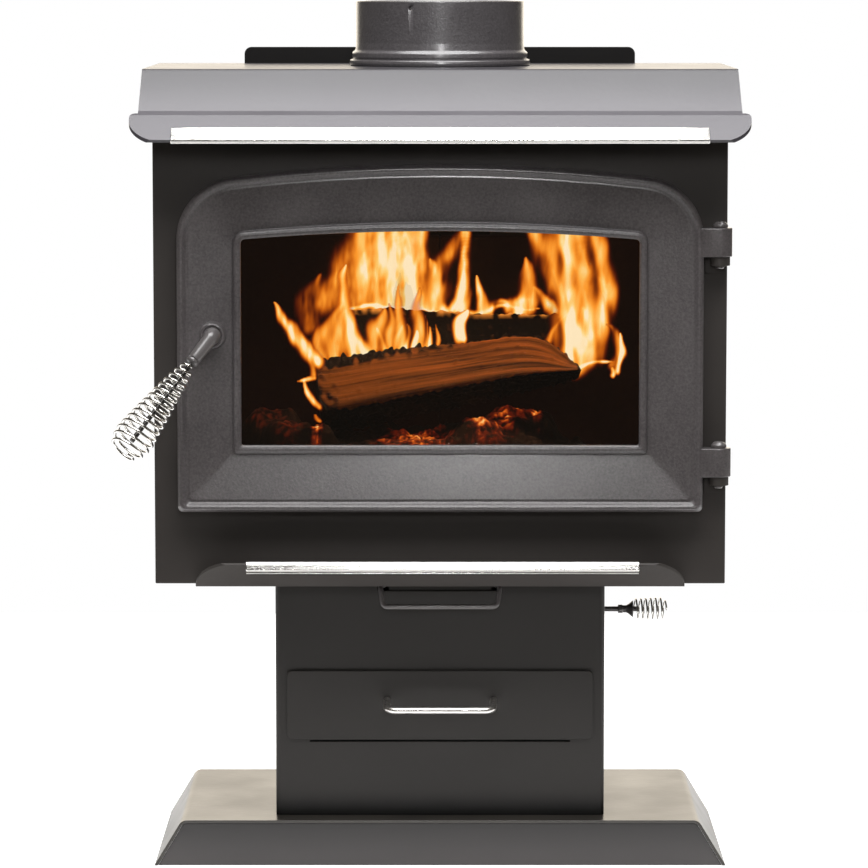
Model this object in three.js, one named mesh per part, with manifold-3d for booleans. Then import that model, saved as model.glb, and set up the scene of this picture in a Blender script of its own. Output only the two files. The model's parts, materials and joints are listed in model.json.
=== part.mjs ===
// Wood burning stove on a pedestal, as separate closed solids in named meshes.
// Millimetres, +Z up, +Y towards the back. The pieces are placed in a working frame with
// x = 0 on the stove's centre plane, y = 0 on the front plate's face and z = 0 on the floor;
// the group at the end moves them so that the origin is the bottom centre of the whole.
import * as THREE from 'three';
import { mergeVertices } from 'three/addons/utils/BufferGeometryUtils.js';
import Module from 'manifold-3d';

const wasm = await Module();
wasm.setup();

// Driving dimensions
const gap = 0.3; // clearance between pieces that touch
const pullGap = 0.9; // clearance behind a bent pull's ends, which meet their plate at a slant
const body = { halfWidth: 270, bottom: 274.5, back: 290, plate: 5, frontPlate: 6, frontTop: 732 };
const cooktop = { top: 760, sheet: 3, flatFront: 36, halfWidth: 281.5, lipHalfWidth: 289.3, bend: 7 };
const slopeFoot = new THREE.Vector2(-25, 720); // y and z where the slope becomes the lip
const lipEdge = new THREE.Vector2(-62, 697); // y and z of the lip's free edge
const lipCorner = 37; // radius of the lip's lower corners, in its own plane
const fireboxTop = 731.7;
const flue = { y: 190, bore: 76.2, outer: 82.2, spigot: 79, rim: 823, lowRing: 88.5, highRing: 86 };
const shield = { halfWidth: 196.5, top: 776, bottom: 292, y: 300, sheet: 1.5, corner: 7 };
const ashLip = { halfWidth: 231.7, under: 271.9, sheet: 2.3, edgeY: -35, edgeZ: 297, corner: 45 };
const trim = { outerLeg: 17, innerLeg: 8, cooktopHalfWidth: 249, ashLipHalfWidth: 187 };
const pedestal = { halfWidth: 157.75, front: 36, back: 241, bottom: 44.3, sheet: 3, bend: 5 };
const base = { top: 44, halfTop: 247.3, halfBottom: 273.8, front: 10, back: 271, sheet: 3, bend: 9 };
const drawer = { halfWidth: 146.8, bottom: 118.8, top: 185, tray: 136, floor: 124, trayTop: 178 };
const door = {
  halfWidth: 247, bottom: 345.4, crown: 672.2, archRadius: 1560, cornerRadius: 59, back: -3,
};
const glassSight = {
  halfWidth: 187, bottom: 408.1, crown: 609.8, archRadius: 2190, cornerRadius: 4,
};
const frameWidth = 61; // nominal distance from the door's edge to the window's edge
const openingInset = 20; // how far the front plate's opening lies inside the door's edge
const hinge = { x: 262.4, y: -12, pin: 4, bore: 4.3, knuckle: 11.3, head: 7.3, lug: 9.4 };
const hingeHeights = { lower: 378.6, upper: 586 }; // undersides of the two door knuckles
const knuckleHeight = 26.8;
const latch = { x: -213.5, z: 512.5, shaft: 5, bore: 5.4, boss: 12, reach: 29 };
const grip = { bend: [-213.5, -36, 512.5], tip: [-293, -95, 410], start: 0.26, wire: 1.2, turns: 15 };
const airControl = { y: 185, z: 222, rod: 2.5, knobStart: 192, knobLength: 33, turns: 6.5, wire: 0.9 };
const gate = { halfWidth: 56, front: 50, back: 140, bottom: 266, thick: 3 };
const brick = 32;

// Finishes
const finish = (color, roughness, metalness) => (
  new THREE.MeshStandardMaterial({ color, roughness, metalness })
);
const paint = () => finish('#2c2827', 0.55, 0.3);
const castIron = () => finish('#504c4a', 0.6, 0.4);
const greyPaint = () => finish('#a8a5aa', 0.45, 0.4);
const nickel = () => finish('#d8d6d2', 0.2, 1.0);
const firebrick = () => finish('#c9b48c', 0.95, 0.0);
const rope = () => finish('#6b6763', 0.95, 0.0);

// Vertices are merged by place, so that each closed geometry becomes one solid.
function solid(geometry) {
  const bare = geometry.clone();
  bare.deleteAttribute('normal');
  bare.deleteAttribute('uv');
  const merged = mergeVertices(bare, 1e-4);
  const vertProperties = new Float32Array(merged.attributes.position.array);
  const triVerts = new Uint32Array(merged.index.array);
  if (signedVolume(vertProperties, triVerts) < 0) triVerts.reverse();
  return new wasm.Manifold(new wasm.Mesh({ numProp: 3, vertProperties, triVerts }));
}

function surface(manifold) {
  const mesh = manifold.getMesh();
  const geometry = new THREE.BufferGeometry();
  geometry.setAttribute('position', new THREE.BufferAttribute(mesh.vertProperties, 3));
  geometry.setIndex(new THREE.BufferAttribute(mesh.triVerts, 1));
  return geometry;
}

const join = (...parts) => surface(parts.map(solid).reduce((whole, part) => whole.add(part)));
const cut = (whole, ...tools) => (
  surface(tools.map(solid).reduce((rest, tool) => rest.subtract(tool), solid(whole)))
);
const common = (first, second) => surface(solid(first).intersect(solid(second)));

// A box between two corners.
function block(x0, x1, y0, y1, z0, z1) {
  const geometry = new THREE.BoxGeometry(x1 - x0, y1 - y0, z1 - z0);
  return geometry.translate((x0 + x1) / 2, (y0 + y1) / 2, (z0 + z1) / 2);
}

// A cylinder from one point to another.
function cylinder(from, to, radius, sides = 24) {
  const a = new THREE.Vector3(...from);
  const b = new THREE.Vector3(...to);
  const geometry = new THREE.CylinderGeometry(radius, radius, a.distanceTo(b), sides);
  const direction = b.clone().sub(a).normalize();
  const turn = new THREE.Quaternion().setFromUnitVectors(new THREE.Vector3(0, 1, 0), direction);
  const middle = a.add(b).multiplyScalar(0.5);
  return geometry.applyQuaternion(turn).translate(middle.x, middle.y, middle.z);
}

const extrude = (shape, depth, curveSegments = 6) => (
  new THREE.ExtrudeGeometry(shape, { depth, bevelEnabled: false, curveSegments })
);

// An upright plate: the shape's x and y become x and z, its thickness runs back from yFront.
function uprightPlate(shape, yFront, thickness, curveSegments) {
  return extrude(shape, thickness, curveSegments).rotateX(Math.PI / 2).translate(0, yFront + thickness, 0);
}

// A bar across the stove: the shape's x and y become y and z, and it is centred on x = 0.
function crossBar(shape, halfWidth) {
  const turn = new THREE.Matrix4().makeBasis(
    new THREE.Vector3(0, 1, 0), new THREE.Vector3(0, 0, 1), new THREE.Vector3(1, 0, 0),
  );
  return extrude(shape, 2 * halfWidth).applyMatrix4(turn).translate(-halfWidth, 0, 0);
}

function roundedRectangle(x0, y0, x1, y1, radius) {
  const shape = new THREE.Shape();
  shape.moveTo(x0 + radius, y0);
  shape.lineTo(x1 - radius, y0);
  shape.absarc(x1 - radius, y0 + radius, radius, -Math.PI / 2, 0);
  shape.absarc(x1 - radius, y1 - radius, radius, 0, Math.PI / 2);
  shape.absarc(x0 + radius, y1 - radius, radius, Math.PI / 2, Math.PI);
  shape.absarc(x0 + radius, y0 + radius, radius, Math.PI, 1.5 * Math.PI);
  return shape;
}

const rectangle = (x0, y0, x1, y1) => new THREE.Shape([
  new THREE.Vector2(x0, y0), new THREE.Vector2(x1, y0),
  new THREE.Vector2(x1, y1), new THREE.Vector2(x0, y1),
]);

// A path of straight runs joined by arcs that touch both runs.
function bendPath(points, radius, steps) {
  const path = [points[0]];
  for (let i = 1; i < points.length - 1; i += 1) {
    const before = points[i - 1].clone().sub(points[i]).normalize();
    const after = points[i + 1].clone().sub(points[i]).normalize();
    const half = Math.acos(before.dot(after)) / 2;
    const inward = before.clone().add(after).normalize();
    const centre = points[i].clone().addScaledVector(inward, radius / Math.sin(half));
    const start = points[i].clone().addScaledVector(before, radius / Math.tan(half));
    const spoke = start.sub(centre).normalize();
    for (let k = 0; k <= steps; k += 1) {
      const angle = ((Math.PI - 2 * half) * k) / steps;
      const point = centre.clone().addScaledVector(spoke, radius * Math.cos(angle));
      path.push(point.addScaledVector(before, -radius * Math.sin(angle)));
    }
  }
  path.push(points[points.length - 1]);
  return path;
}

// The section of a bent sheet: its outer side is given, the other lies to the right of it.
function sheetSection(corners, bendRadius, thickness, steps = 5) {
  const side = bendPath(corners.map(([x, y]) => new THREE.Vector2(x, y)), bendRadius, steps);
  const normals = side.slice(1).map((point, i) => {
    const along = point.clone().sub(side[i]).normalize();
    return new THREE.Vector2(along.y, -along.x);
  });
  const other = side.map((point, i) => {
    const first = normals[Math.max(i - 1, 0)];
    const last = normals[Math.min(i, normals.length - 1)];
    const mean = first.clone().add(last).normalize();
    return point.clone().addScaledVector(mean, thickness / mean.dot(first));
  });
  return new THREE.Shape([...side, ...other.reverse()]);
}

// A closed surface from rings of equally many points; the last ring joins the first, or
// each end is closed by a fan around its middle.
function loft(rings, closedLoop) {
  const count = rings[0].length;
  const positions = rings.flat().flatMap((point) => point.toArray());
  const triangles = [];
  const quads = closedLoop ? rings.length : rings.length - 1;
  for (let i = 0; i < quads; i += 1) {
    const next = (i + 1) % rings.length;
    for (let j = 0; j < count; j += 1) {
      const a = i * count + j;
      const b = i * count + ((j + 1) % count);
      const c = next * count + j;
      const d = next * count + ((j + 1) % count);
      triangles.push(a, b, d, a, d, c);
    }
  }
  if (!closedLoop) {
    [0, rings.length - 1].forEach((end) => {
      const middle = new THREE.Vector3();
      rings[end].forEach((point) => middle.addScaledVector(point, 1 / count));
      const centre = positions.length / 3;
      positions.push(...middle.toArray());
      for (let j = 0; j < count; j += 1) {
        const pair = [end * count + j, end * count + ((j + 1) % count)];
        triangles.push(centre, ...(end === 0 ? pair.reverse() : pair));
      }
    });
  }
  const geometry = new THREE.BufferGeometry();
  geometry.setAttribute('position', new THREE.Float32BufferAttribute(positions, 3));
  geometry.setIndex(signedVolume(positions, triangles) < 0 ? triangles.reverse() : triangles);
  return geometry;
}

function signedVolume(positions, triangles) {
  const corner = (i) => new THREE.Vector3().fromArray(positions, 3 * i);
  let sum = 0;
  for (let i = 0; i < triangles.length; i += 3) {
    const [a, b, c] = [corner(triangles[i]), corner(triangles[i + 1]), corner(triangles[i + 2])];
    sum += a.dot(b.cross(c));
  }
  return sum / 6;
}

// A round bar along a path, with a radius for each point of the path.
function roundBar(path, radii, sides = 12) {
  const directions = path.map((point, i) => {
    const ahead = path[Math.min(i + 1, path.length - 1)];
    const behind = path[Math.max(i - 1, 0)];
    return ahead.clone().sub(behind).normalize();
  });
  const spoke = new THREE.Vector3(0.31, 0.57, 0.76).cross(directions[0]).normalize();
  const rings = path.map((point, i) => {
    if (i > 0) {
      const turn = new THREE.Quaternion().setFromUnitVectors(directions[i - 1], directions[i]);
      spoke.applyQuaternion(turn);
    }
    const binormal = directions[i].clone().cross(spoke);
    return Array.from({ length: sides }, (_, k) => {
      const angle = (2 * Math.PI * k) / sides;
      const ring = point.clone().addScaledVector(spoke, radii[i] * Math.cos(angle));
      return ring.addScaledVector(binormal, radii[i] * Math.sin(angle));
    });
  });
  return loft(rings, false);
}

function bentRod(corners, radius, bendRadius, sides = 8) {
  const path = bendPath(corners.map((corner) => new THREE.Vector3(...corner)), bendRadius, 4);
  return roundBar(path, path.map(() => radius), sides);
}

// A wire coil around an axis; its radius is a function of the fraction of its length.
function coil(from, to, turns, radiusAt, wire, stepsPerTurn = 12) {
  const axis = to.clone().sub(from);
  const across = new THREE.Vector3(0, 0, 1).cross(axis).normalize();
  const up = axis.clone().normalize().cross(across);
  const count = Math.round(turns * stepsPerTurn);
  const path = Array.from({ length: count + 1 }, (_, i) => {
    const part = i / count;
    const angle = 2 * Math.PI * turns * part;
    const point = from.clone().addScaledVector(axis, part);
    point.addScaledVector(across, radiusAt(part) * Math.cos(angle));
    return point.addScaledVector(up, radiusAt(part) * Math.sin(angle));
  });
  return roundBar(path, path.map(() => wire), 5);
}

// The door's outlines: square lower corners, round upper corners and a shallow arch.
function archedOutline({ halfWidth, bottom, crown, archRadius, cornerRadius }) {
  const cornerX = halfWidth - cornerRadius;
  const lean = Math.asin(cornerX / (archRadius - cornerRadius));
  const cornerZ = crown - archRadius + (archRadius - cornerRadius) * Math.cos(lean);
  const right = [new THREE.Vector2(halfWidth, bottom)];
  for (let i = 0; i <= 8; i += 1) {
    const angle = (Math.PI / 2 - lean) * (i / 8);
    const spoke = new THREE.Vector2(Math.cos(angle), Math.sin(angle));
    right.push(new THREE.Vector2(cornerX, cornerZ).addScaledVector(spoke, cornerRadius));
  }
  for (let i = 1; i <= 6; i += 1) {
    const angle = lean * (1 - i / 6);
    const spoke = new THREE.Vector2(Math.sin(angle), Math.cos(angle));
    right.push(new THREE.Vector2(0, crown - archRadius).addScaledVector(spoke, archRadius));
  }
  const left = right.slice(0, -1).reverse().map((point) => new THREE.Vector2(-point.x, point.y));
  return [...right, ...left];
}

const doorEdge = archedOutline(door);
const windowEdge = archedOutline(glassSight);
const insetOutline = (inset) => (
  doorEdge.map((point, i) => point.clone().lerp(windowEdge[i], inset / frameWidth))
);

// A closed ring around the window, from section points given as inset and y.
function doorRing(section) {
  const rings = section.map(([inset, y]) => (
    insetOutline(inset).map((point) => new THREE.Vector3(point.x, y, point.y))
  ));
  return loft(rings, true);
}

const stove = new THREE.Group();
function piece(name, geometry, material) {
  const mesh = new THREE.Mesh(geometry, material);
  mesh.name = name;
  stove.add(mesh);
}

// Base: a plate bent down at both sides, closed by an inset panel at the front and the rear.
const baseSection = sheetSection([
  [-base.halfBottom, 0], [-base.halfTop, base.top], [base.halfTop, base.top], [base.halfBottom, 0],
], base.bend, base.sheet);
const basePlate = uprightPlate(baseSection, base.front, base.back - base.front);
piece('base_plate', cut(basePlate, block(-300, 300, base.front - 5, base.back + 5, -10, 0)), paint());
const skirtFall = (base.halfBottom - base.halfTop) / base.top;
const panelInset = base.sheet + gap;
const panelTop = base.top - panelInset;
const panelHalfBottom = base.halfBottom - panelInset * Math.hypot(1, skirtFall);
const panelHalfTop = panelHalfBottom - skirtFall * panelTop;
const basePanel = new THREE.Shape(bendPath([
  [-panelHalfBottom, 0], [-panelHalfTop, panelTop], [panelHalfTop, panelTop], [panelHalfBottom, 0],
].map(([x, z]) => new THREE.Vector2(x, z)), base.bend - panelInset, 5));
piece('base_front_panel', uprightPlate(basePanel, base.front + 2, 2.5), paint());
piece('base_rear_panel', uprightPlate(basePanel, base.back - 4.5, 2.5), paint());

// Pedestal: a sheet bent round the front and both sides, and a rear panel between the sides.
const pedestalTop = body.bottom - gap;
const pedestalSection = sheetSection([
  [-pedestal.halfWidth, pedestal.back], [-pedestal.halfWidth, pedestal.front],
  [pedestal.halfWidth, pedestal.front], [pedestal.halfWidth, pedestal.back],
].reverse(), pedestal.bend, pedestal.sheet);
const pedestalWrap = extrude(pedestalSection, pedestalTop - pedestal.bottom).translate(0, 0, pedestal.bottom);
const throughFront = [pedestal.front - 5, pedestal.front + 10];
const drawerMouth = 141; // half width of the drawer's opening
const airSlot = { halfWidth: 125, bottom: 115.8, top: 117.4 };
const gateNotch = { halfWidth: 60, bottom: 262 };
const rodHole = 4;
piece('pedestal_shell', cut(
  pedestalWrap,
  block(-drawerMouth, drawerMouth, ...throughFront, drawer.bottom + 2.5, drawer.top - 3),
  block(-airSlot.halfWidth, airSlot.halfWidth, ...throughFront, airSlot.bottom, airSlot.top),
  block(-gateNotch.halfWidth, gateNotch.halfWidth, ...throughFront, gateNotch.bottom, pedestalTop + 1),
  cylinder([140, airControl.y, airControl.z], [170, airControl.y, airControl.z], rodHole),
), paint());
const throughBack = [pedestal.back - 10, pedestal.back + 5];
const ductNotch = { halfWidth: 51, bottom: 249.5 };
const freshAir = { z: 150, radius: 38 };
const rearInside = pedestal.halfWidth - pedestal.sheet - gap;
piece('pedestal_rear_panel', cut(
  block(-rearInside, rearInside, pedestal.back - 5, pedestal.back - 2, pedestal.bottom, pedestalTop),
  block(-ductNotch.halfWidth, ductNotch.halfWidth, ...throughBack, ductNotch.bottom, pedestalTop + 1),
  cylinder([0, throughBack[0], freshAir.z], [0, throughBack[1], freshAir.z], freshAir.radius, 32),
), paint());

// Firebox: front plate with the arched opening, two sides, back, floor and top.
const openingOutline = insetOutline(openingInset);
const frontShape = rectangle(-body.halfWidth, body.bottom, body.halfWidth, body.frontTop);
frontShape.holes.push(new THREE.Path(openingOutline));
piece('firebox_front_plate', uprightPlate(frontShape, 0, body.frontPlate), paint());
const slope = (cooktop.top - slopeFoot.y) / (cooktop.flatFront - slopeFoot.x);
const underCooktop = cooktop.top - cooktop.sheet - gap;
const sideFront = body.frontPlate + gap;
const sideBack = body.back - body.plate - gap;
const sideShoulder = underCooktop - 1.2 - (cooktop.flatFront + 4 - sideFront) * slope;
const sideShape = new THREE.Shape([
  new THREE.Vector2(sideFront, body.bottom), new THREE.Vector2(sideBack, body.bottom),
  new THREE.Vector2(sideBack, underCooktop), new THREE.Vector2(cooktop.flatFront + 4, underCooktop),
  new THREE.Vector2(sideFront, sideShoulder),
]);
[['left', -1], ['right', 1]].forEach(([side, sign]) => {
  const plate = crossBar(sideShape, body.plate / 2).translate(sign * (body.halfWidth - body.plate / 2), 0, 0);
  piece(`firebox_${side}_side`, plate, paint());
});
piece('firebox_back', block(
  -body.halfWidth, body.halfWidth, body.back - body.plate, body.back, body.bottom, underCooktop,
), paint());
const inside = body.halfWidth - body.plate - gap;
const floorTop = body.bottom + body.plate;
const throughFloor = [body.bottom - 5, floorTop + 5];
piece('firebox_floor', cut(
  block(-inside, inside, sideFront, sideBack, body.bottom, floorTop),
  block(-45, 45, 62, 132, ...throughFloor), // over the ash gate
  block(-25, 25, 262, 282, ...throughFloor), // under the air riser
), paint());
piece('firebox_top', cut(
  block(-inside, inside, sideFront, sideBack, fireboxTop - body.plate, fireboxTop),
  cylinder([0, flue.y, fireboxTop - 20], [0, flue.y, fireboxTop + 20], flue.spigot + 0.5, 48),
), paint());

// Cooktop: one sheet bent into the flat top, the slope and the wider front lip.
const cooktopSection = sheetSection([
  [body.back, cooktop.top], [cooktop.flatFront, cooktop.top], slopeFoot.toArray(), lipEdge.toArray(),
], cooktop.bend, -cooktop.sheet);
const lipFall = Math.atan2(slopeFoot.y - lipEdge.y, slopeFoot.x - lipEdge.x);
const cornerDepth = lipCorner * Math.cos(lipFall);
const earRadius = 3;
const lipFront = lipEdge.x - cooktop.sheet;
const plan = new THREE.Shape();
plan.moveTo(0, body.back + 1);
plan.lineTo(-cooktop.halfWidth, body.back + 1);
plan.lineTo(-cooktop.halfWidth, slopeFoot.x);
plan.lineTo(-cooktop.lipHalfWidth + earRadius, slopeFoot.x);
plan.absarc(-cooktop.lipHalfWidth + earRadius, slopeFoot.x - earRadius, earRadius, Math.PI / 2, Math.PI);
const lipCornerX = cooktop.lipHalfWidth - lipCorner;
const lipCornerY = lipFront + cornerDepth;
plan.absellipse(-lipCornerX, lipCornerY, lipCorner, cornerDepth, Math.PI, 1.5 * Math.PI);
plan.lineTo(lipCornerX, lipFront);
plan.absellipse(lipCornerX, lipCornerY, lipCorner, cornerDepth, 1.5 * Math.PI, 2 * Math.PI);
plan.absarc(cooktop.lipHalfWidth - earRadius, slopeFoot.x - earRadius, earRadius, 0, Math.PI / 2);
plan.lineTo(cooktop.halfWidth, slopeFoot.x);
plan.lineTo(cooktop.halfWidth, body.back + 1);
const planPrism = extrude(plan, 200, 8).translate(0, 0, 640);
const flueHole = cylinder([0, flue.y, 700], [0, flue.y, 800], flue.spigot + 0.5, 48);
piece('cooktop', cut(common(crossBar(cooktopSection, 300), planPrism), flueHole), greyPaint());

// A clip-on trim: a channel round a sheet's free edge, with a groove along its outer leg.
// The edge runs towards the given direction; outward is the side that the long leg covers.
function edgeTrim(edge, along, outward, sheet, legLength, halfWidth) {
  const wall = 1;
  const clear = 0.3;
  const at = (back, out) => new THREE.Vector2(
    edge.x - along.x * back + outward.x * out, edge.y - along.y * back + outward.y * out,
  );
  const under = -sheet - clear;
  const outline = [
    at(legLength, clear), at(legLength, clear + wall), at(6.5, clear + wall + 0.6),
    at(5.5, clear + wall - 0.4), at(4.5, clear + wall + 0.4), at(1, clear + wall + 0.6),
    at(-clear - wall, clear), at(-clear - wall, under), at(-clear, under - wall),
    at(trim.innerLeg, under - wall), at(trim.innerLeg, under), at(-clear, under), at(-clear, clear),
  ];
  return crossBar(new THREE.Shape(outline), halfWidth);
}
const lipAlong = lipEdge.clone().sub(slopeFoot).normalize();
const lipOut = new THREE.Vector2(lipAlong.y, -lipAlong.x);
piece('cooktop_trim', edgeTrim(
  lipEdge, lipAlong, lipOut, cooktop.sheet, trim.outerLeg, trim.cooktopHalfWidth,
), nickel());

// Flue collar: a turned casting with two beads at its foot and three set-screw holes.
const collarProfile = [
  [flue.bore, fireboxTop - 4], [flue.spigot, fireboxTop - 4], [flue.spigot, cooktop.top + gap],
  [flue.lowRing - 1, cooktop.top + gap], [flue.lowRing, cooktop.top + 2], [flue.lowRing, cooktop.top + 6],
  [flue.highRing, cooktop.top + 8], [flue.highRing, cooktop.top + 13], [flue.outer, cooktop.top + 15.5],
  [flue.outer, flue.rim], [flue.bore, flue.rim], [flue.bore, fireboxTop - 4],
].map(([r, z]) => new THREE.Vector2(r, z));
const collar = new THREE.LatheGeometry(collarProfile, 48).rotateX(Math.PI / 2).translate(0, flue.y, 0);
const screwHoles = [-20, 100, 220].map((degrees) => {
  const angle = THREE.MathUtils.degToRad(degrees);
  const reach = (r) => [r * Math.sin(angle), flue.y - r * Math.cos(angle), flue.rim - 6.5];
  return cylinder(reach(flue.bore - 5), reach(flue.outer + 5), 2.2, 12);
});
piece('flue_collar', cut(collar, ...screwHoles), castIron());

// Rear heat shield: a thin sheet held off the back plate by four spacers.
const shieldSheet = uprightPlate(
  roundedRectangle(-shield.halfWidth, shield.bottom, shield.halfWidth, shield.top, shield.corner),
  shield.y, shield.sheet, 4,
);
const spacer = { across: [-150, 150], heights: [340, 700], radius: 6 };
const spacers = spacer.across.flatMap((x) => spacer.heights.map((z) => (
  cylinder([x, body.back + gap, z], [x, shield.y + 0.5, z], spacer.radius, 16)
)));
piece('rear_heat_shield', join(shieldSheet, ...spacers), paint());

// Ash lip: a sheet with a flange under the floor, bent forward and up, with round corners.
const lipSection = sheetSection([
  [30, ashLip.under], [-2, ashLip.under], [ashLip.edgeY, ashLip.edgeZ],
], 3, ashLip.sheet, 4);
const ashAlong = new THREE.Vector2(ashLip.edgeY + 2, ashLip.edgeZ - ashLip.under).normalize();
const ashCornerDepth = ashLip.corner * Math.abs(ashAlong.x);
const ashPlan = new THREE.Shape();
const ashFront = ashLip.edgeY - ashLip.sheet;
ashPlan.moveTo(-ashLip.halfWidth, 31);
ashPlan.lineTo(-ashLip.halfWidth, ashFront + ashCornerDepth);
const ashCornerX = ashLip.halfWidth - ashLip.corner;
const ashCornerY = ashFront + ashCornerDepth;
ashPlan.absellipse(-ashCornerX, ashCornerY, ashLip.corner, ashCornerDepth, Math.PI, 1.5 * Math.PI);
ashPlan.absellipse(ashCornerX, ashCornerY, ashLip.corner, ashCornerDepth, 1.5 * Math.PI, 2 * Math.PI);
ashPlan.lineTo(ashLip.halfWidth, 31);
piece('ash_lip', common(crossBar(lipSection, 240), extrude(ashPlan, 60, 8).translate(0, 0, 260)), paint());
const ashOut = new THREE.Vector2(-ashAlong.y, ashAlong.x);
const ashEdge = new THREE.Vector2(ashLip.edgeY, ashLip.edgeZ);
piece('ash_lip_trim', edgeTrim(
  ashEdge, ashAlong, ashOut, ashLip.sheet, trim.outerLeg, trim.ashLipHalfWidth,
), nickel());

// Door: a cast frame whose field slopes inwards between an outer and an inner bead, with
// two hinge knuckles, and a boss round the latch shaft.
const doorSection = [
  [0, door.back], [0, -20], [1.5, -23], [3.5, -24], [5.5, -23], [7.5, -20.5], [frameWidth - 8.5, -13],
  [frameWidth - 6.5, -15.5], [frameWidth - 3.5, -16.5], [frameWidth - 0.5, -15], [frameWidth, -12.5],
  [frameWidth, -11.5], [frameWidth - 14, -11.5], [frameWidth - 14, door.back],
  [19, door.back], [19, -9], [7, -9], [7, door.back],
];
const knuckles = Object.values(hingeHeights).flatMap((z) => [
  cylinder([hinge.x, hinge.y, z], [hinge.x, hinge.y, z + knuckleHeight], hinge.knuckle, 32),
  block(door.halfWidth - 4, hinge.x, -22.5, -5, z, z + knuckleHeight),
]);
const boss = cylinder([latch.x, -27, latch.z], [latch.x, -10, latch.z], latch.boss, 28);
piece('door_frame', cut(
  join(doorRing(doorSection), ...knuckles, boss),
  cylinder([latch.x, -30, latch.z], [latch.x, -23, latch.z], latch.boss - 3, 28),
  cylinder([latch.x, -40, latch.z], [latch.x, 10, latch.z], latch.bore, 20),
  cylinder([hinge.x, hinge.y, 300], [hinge.x, hinge.y, 700], hinge.bore, 20),
), castIron());
const glassFront = -9.4;
const glassThick = 4.5;
const glassShape = new THREE.Shape(insetOutline(frameWidth - 12));
piece('door_glass', uprightPlate(glassShape, glassFront, glassThick), new THREE.MeshStandardMaterial({
  color: '#1a1412', roughness: 0.08, metalness: 0, transparent: true, opacity: 0.35,
}));
piece('glass_gasket', doorRing([
  [frameWidth - 12, -11.2], [frameWidth - 3, -11.2], [frameWidth - 3, glassFront - gap],
  [frameWidth - 12, glassFront - gap],
]), rope());
piece('door_gasket', doorRing([
  [8, -8.7], [18, -8.7], [18, -3.5], [16, -gap], [10, -gap], [8, -3.5],
]), rope());

// Glass retainers: a strip across the frame's back with a foot that bears on the glass.
const retainerHalfWidth = 150;
const retainers = {
  lower: { strip: [385.5, 406.5], foot: [396.5, 406.5] },
  upper: { strip: [610.5, 632], foot: [610.5, 616] },
};
Object.entries(retainers).forEach(([place, { strip, foot }]) => {
  const glassBack = glassFront + glassThick + gap;
  piece(`glass_retainer_${place}`, join(
    block(-retainerHalfWidth, retainerHalfWidth, door.back + gap, door.back + 2.3, ...strip),
    block(-retainerHalfWidth, retainerHalfWidth, glassBack, door.back + 1, ...foot),
  ), paint());
});

// Hinges: a lug on a plate welded to the front plate, and a domed pin down through both.
Object.entries(hingeHeights).forEach(([place, z]) => {
  const lugTop = z - 0.5;
  const lugBottom = z - 8.5;
  const lug = join(
    cylinder([hinge.x, hinge.y, lugBottom], [hinge.x, hinge.y, lugTop], hinge.lug, 28),
    block(hinge.x - 6, hinge.x + 6, hinge.y, -gap, lugBottom, lugTop),
    block(door.halfWidth + 2, body.halfWidth - 1, -3, -gap, lugBottom - 8, lugTop),
  );
  piece(`hinge_bracket_${place}`, cut(lug, cylinder(
    [hinge.x, hinge.y, z - 30], [hinge.x, hinge.y, z + 10], hinge.bore, 20,
  )), paint());
  const headFoot = z + knuckleHeight + gap;
  const pinProfile = [
    [0, z - 11.5], [hinge.pin - 1, z - 11.5], [hinge.pin, z - 10.5], [hinge.pin, headFoot],
    [hinge.head, headFoot], [hinge.head, headFoot + 2], [5.8, headFoot + 4.4],
    [3.2, headFoot + 5.7], [0, headFoot + 6.2],
  ].map(([r, height]) => new THREE.Vector2(r, height));
  const pin = new THREE.LatheGeometry(pinProfile, 20).rotateX(Math.PI / 2).translate(hinge.x, hinge.y, 0);
  piece(`hinge_pin_${place}`, surface(solid(pin)), paint());
});

// Door handle: the latch shaft, bent outside the door into a neck and a thin rod that
// carries a pear-shaped wire grip; inside, a latch finger and its nut.
const gripBend = new THREE.Vector3(...grip.bend);
const gripTip = new THREE.Vector3(...grip.tip);
const alongGrip = (part) => gripBend.clone().lerp(gripTip, part);
const shaftEnd = new THREE.Vector3(latch.x, 23.5, latch.z);
const neckPath = bendPath([shaftEnd, gripBend, alongGrip(0.17)], 9, 6);
const armPath = [...neckPath, alongGrip(0.172), alongGrip(0.5)];
const armRadii = armPath.map((_, i) => {
  if (i >= neckPath.length) return 2.6;
  return i === neckPath.length - 1 ? 6 : latch.shaft;
});
piece('door_handle_arm', roundBar(armPath, armRadii, 14), castIron());
const wideAt = 0.8; // fraction of the grip's length where it is widest
const gripRadius = (part) => (part < wideAt
  ? 5.5 + 12.6 * (part / wideAt) ** 0.75
  : 7.5 + 10.6 * Math.sqrt(Math.max(0, 1 - ((part - wideAt) / (1 - wideAt)) ** 2)));
piece('door_handle_grip', coil(
  alongGrip(grip.start), gripTip, grip.turns, gripRadius, grip.wire, 9,
), nickel());
const finger = [11.6, 17];
const cam = join(
  cylinder([latch.x, finger[0], latch.z], [latch.x, finger[1], latch.z], 9, 24),
  block(latch.x - latch.reach, latch.x, ...finger, latch.z - 7, latch.z + 7),
);
const camBore = cylinder([latch.x, 0, latch.z], [latch.x, 30, latch.z], latch.bore, 20);
piece('latch_cam', cut(cam, camBore), paint());
const nut = cylinder([latch.x, finger[1] + gap, latch.z], [latch.x, 22.5, latch.z], 8, 6);
piece('latch_nut', cut(nut, camBore), nickel());
piece('latch_catch', block(-247, -230, sideFront, finger[0] - 0.6, latch.z - 16, latch.z + 16), paint());

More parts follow.
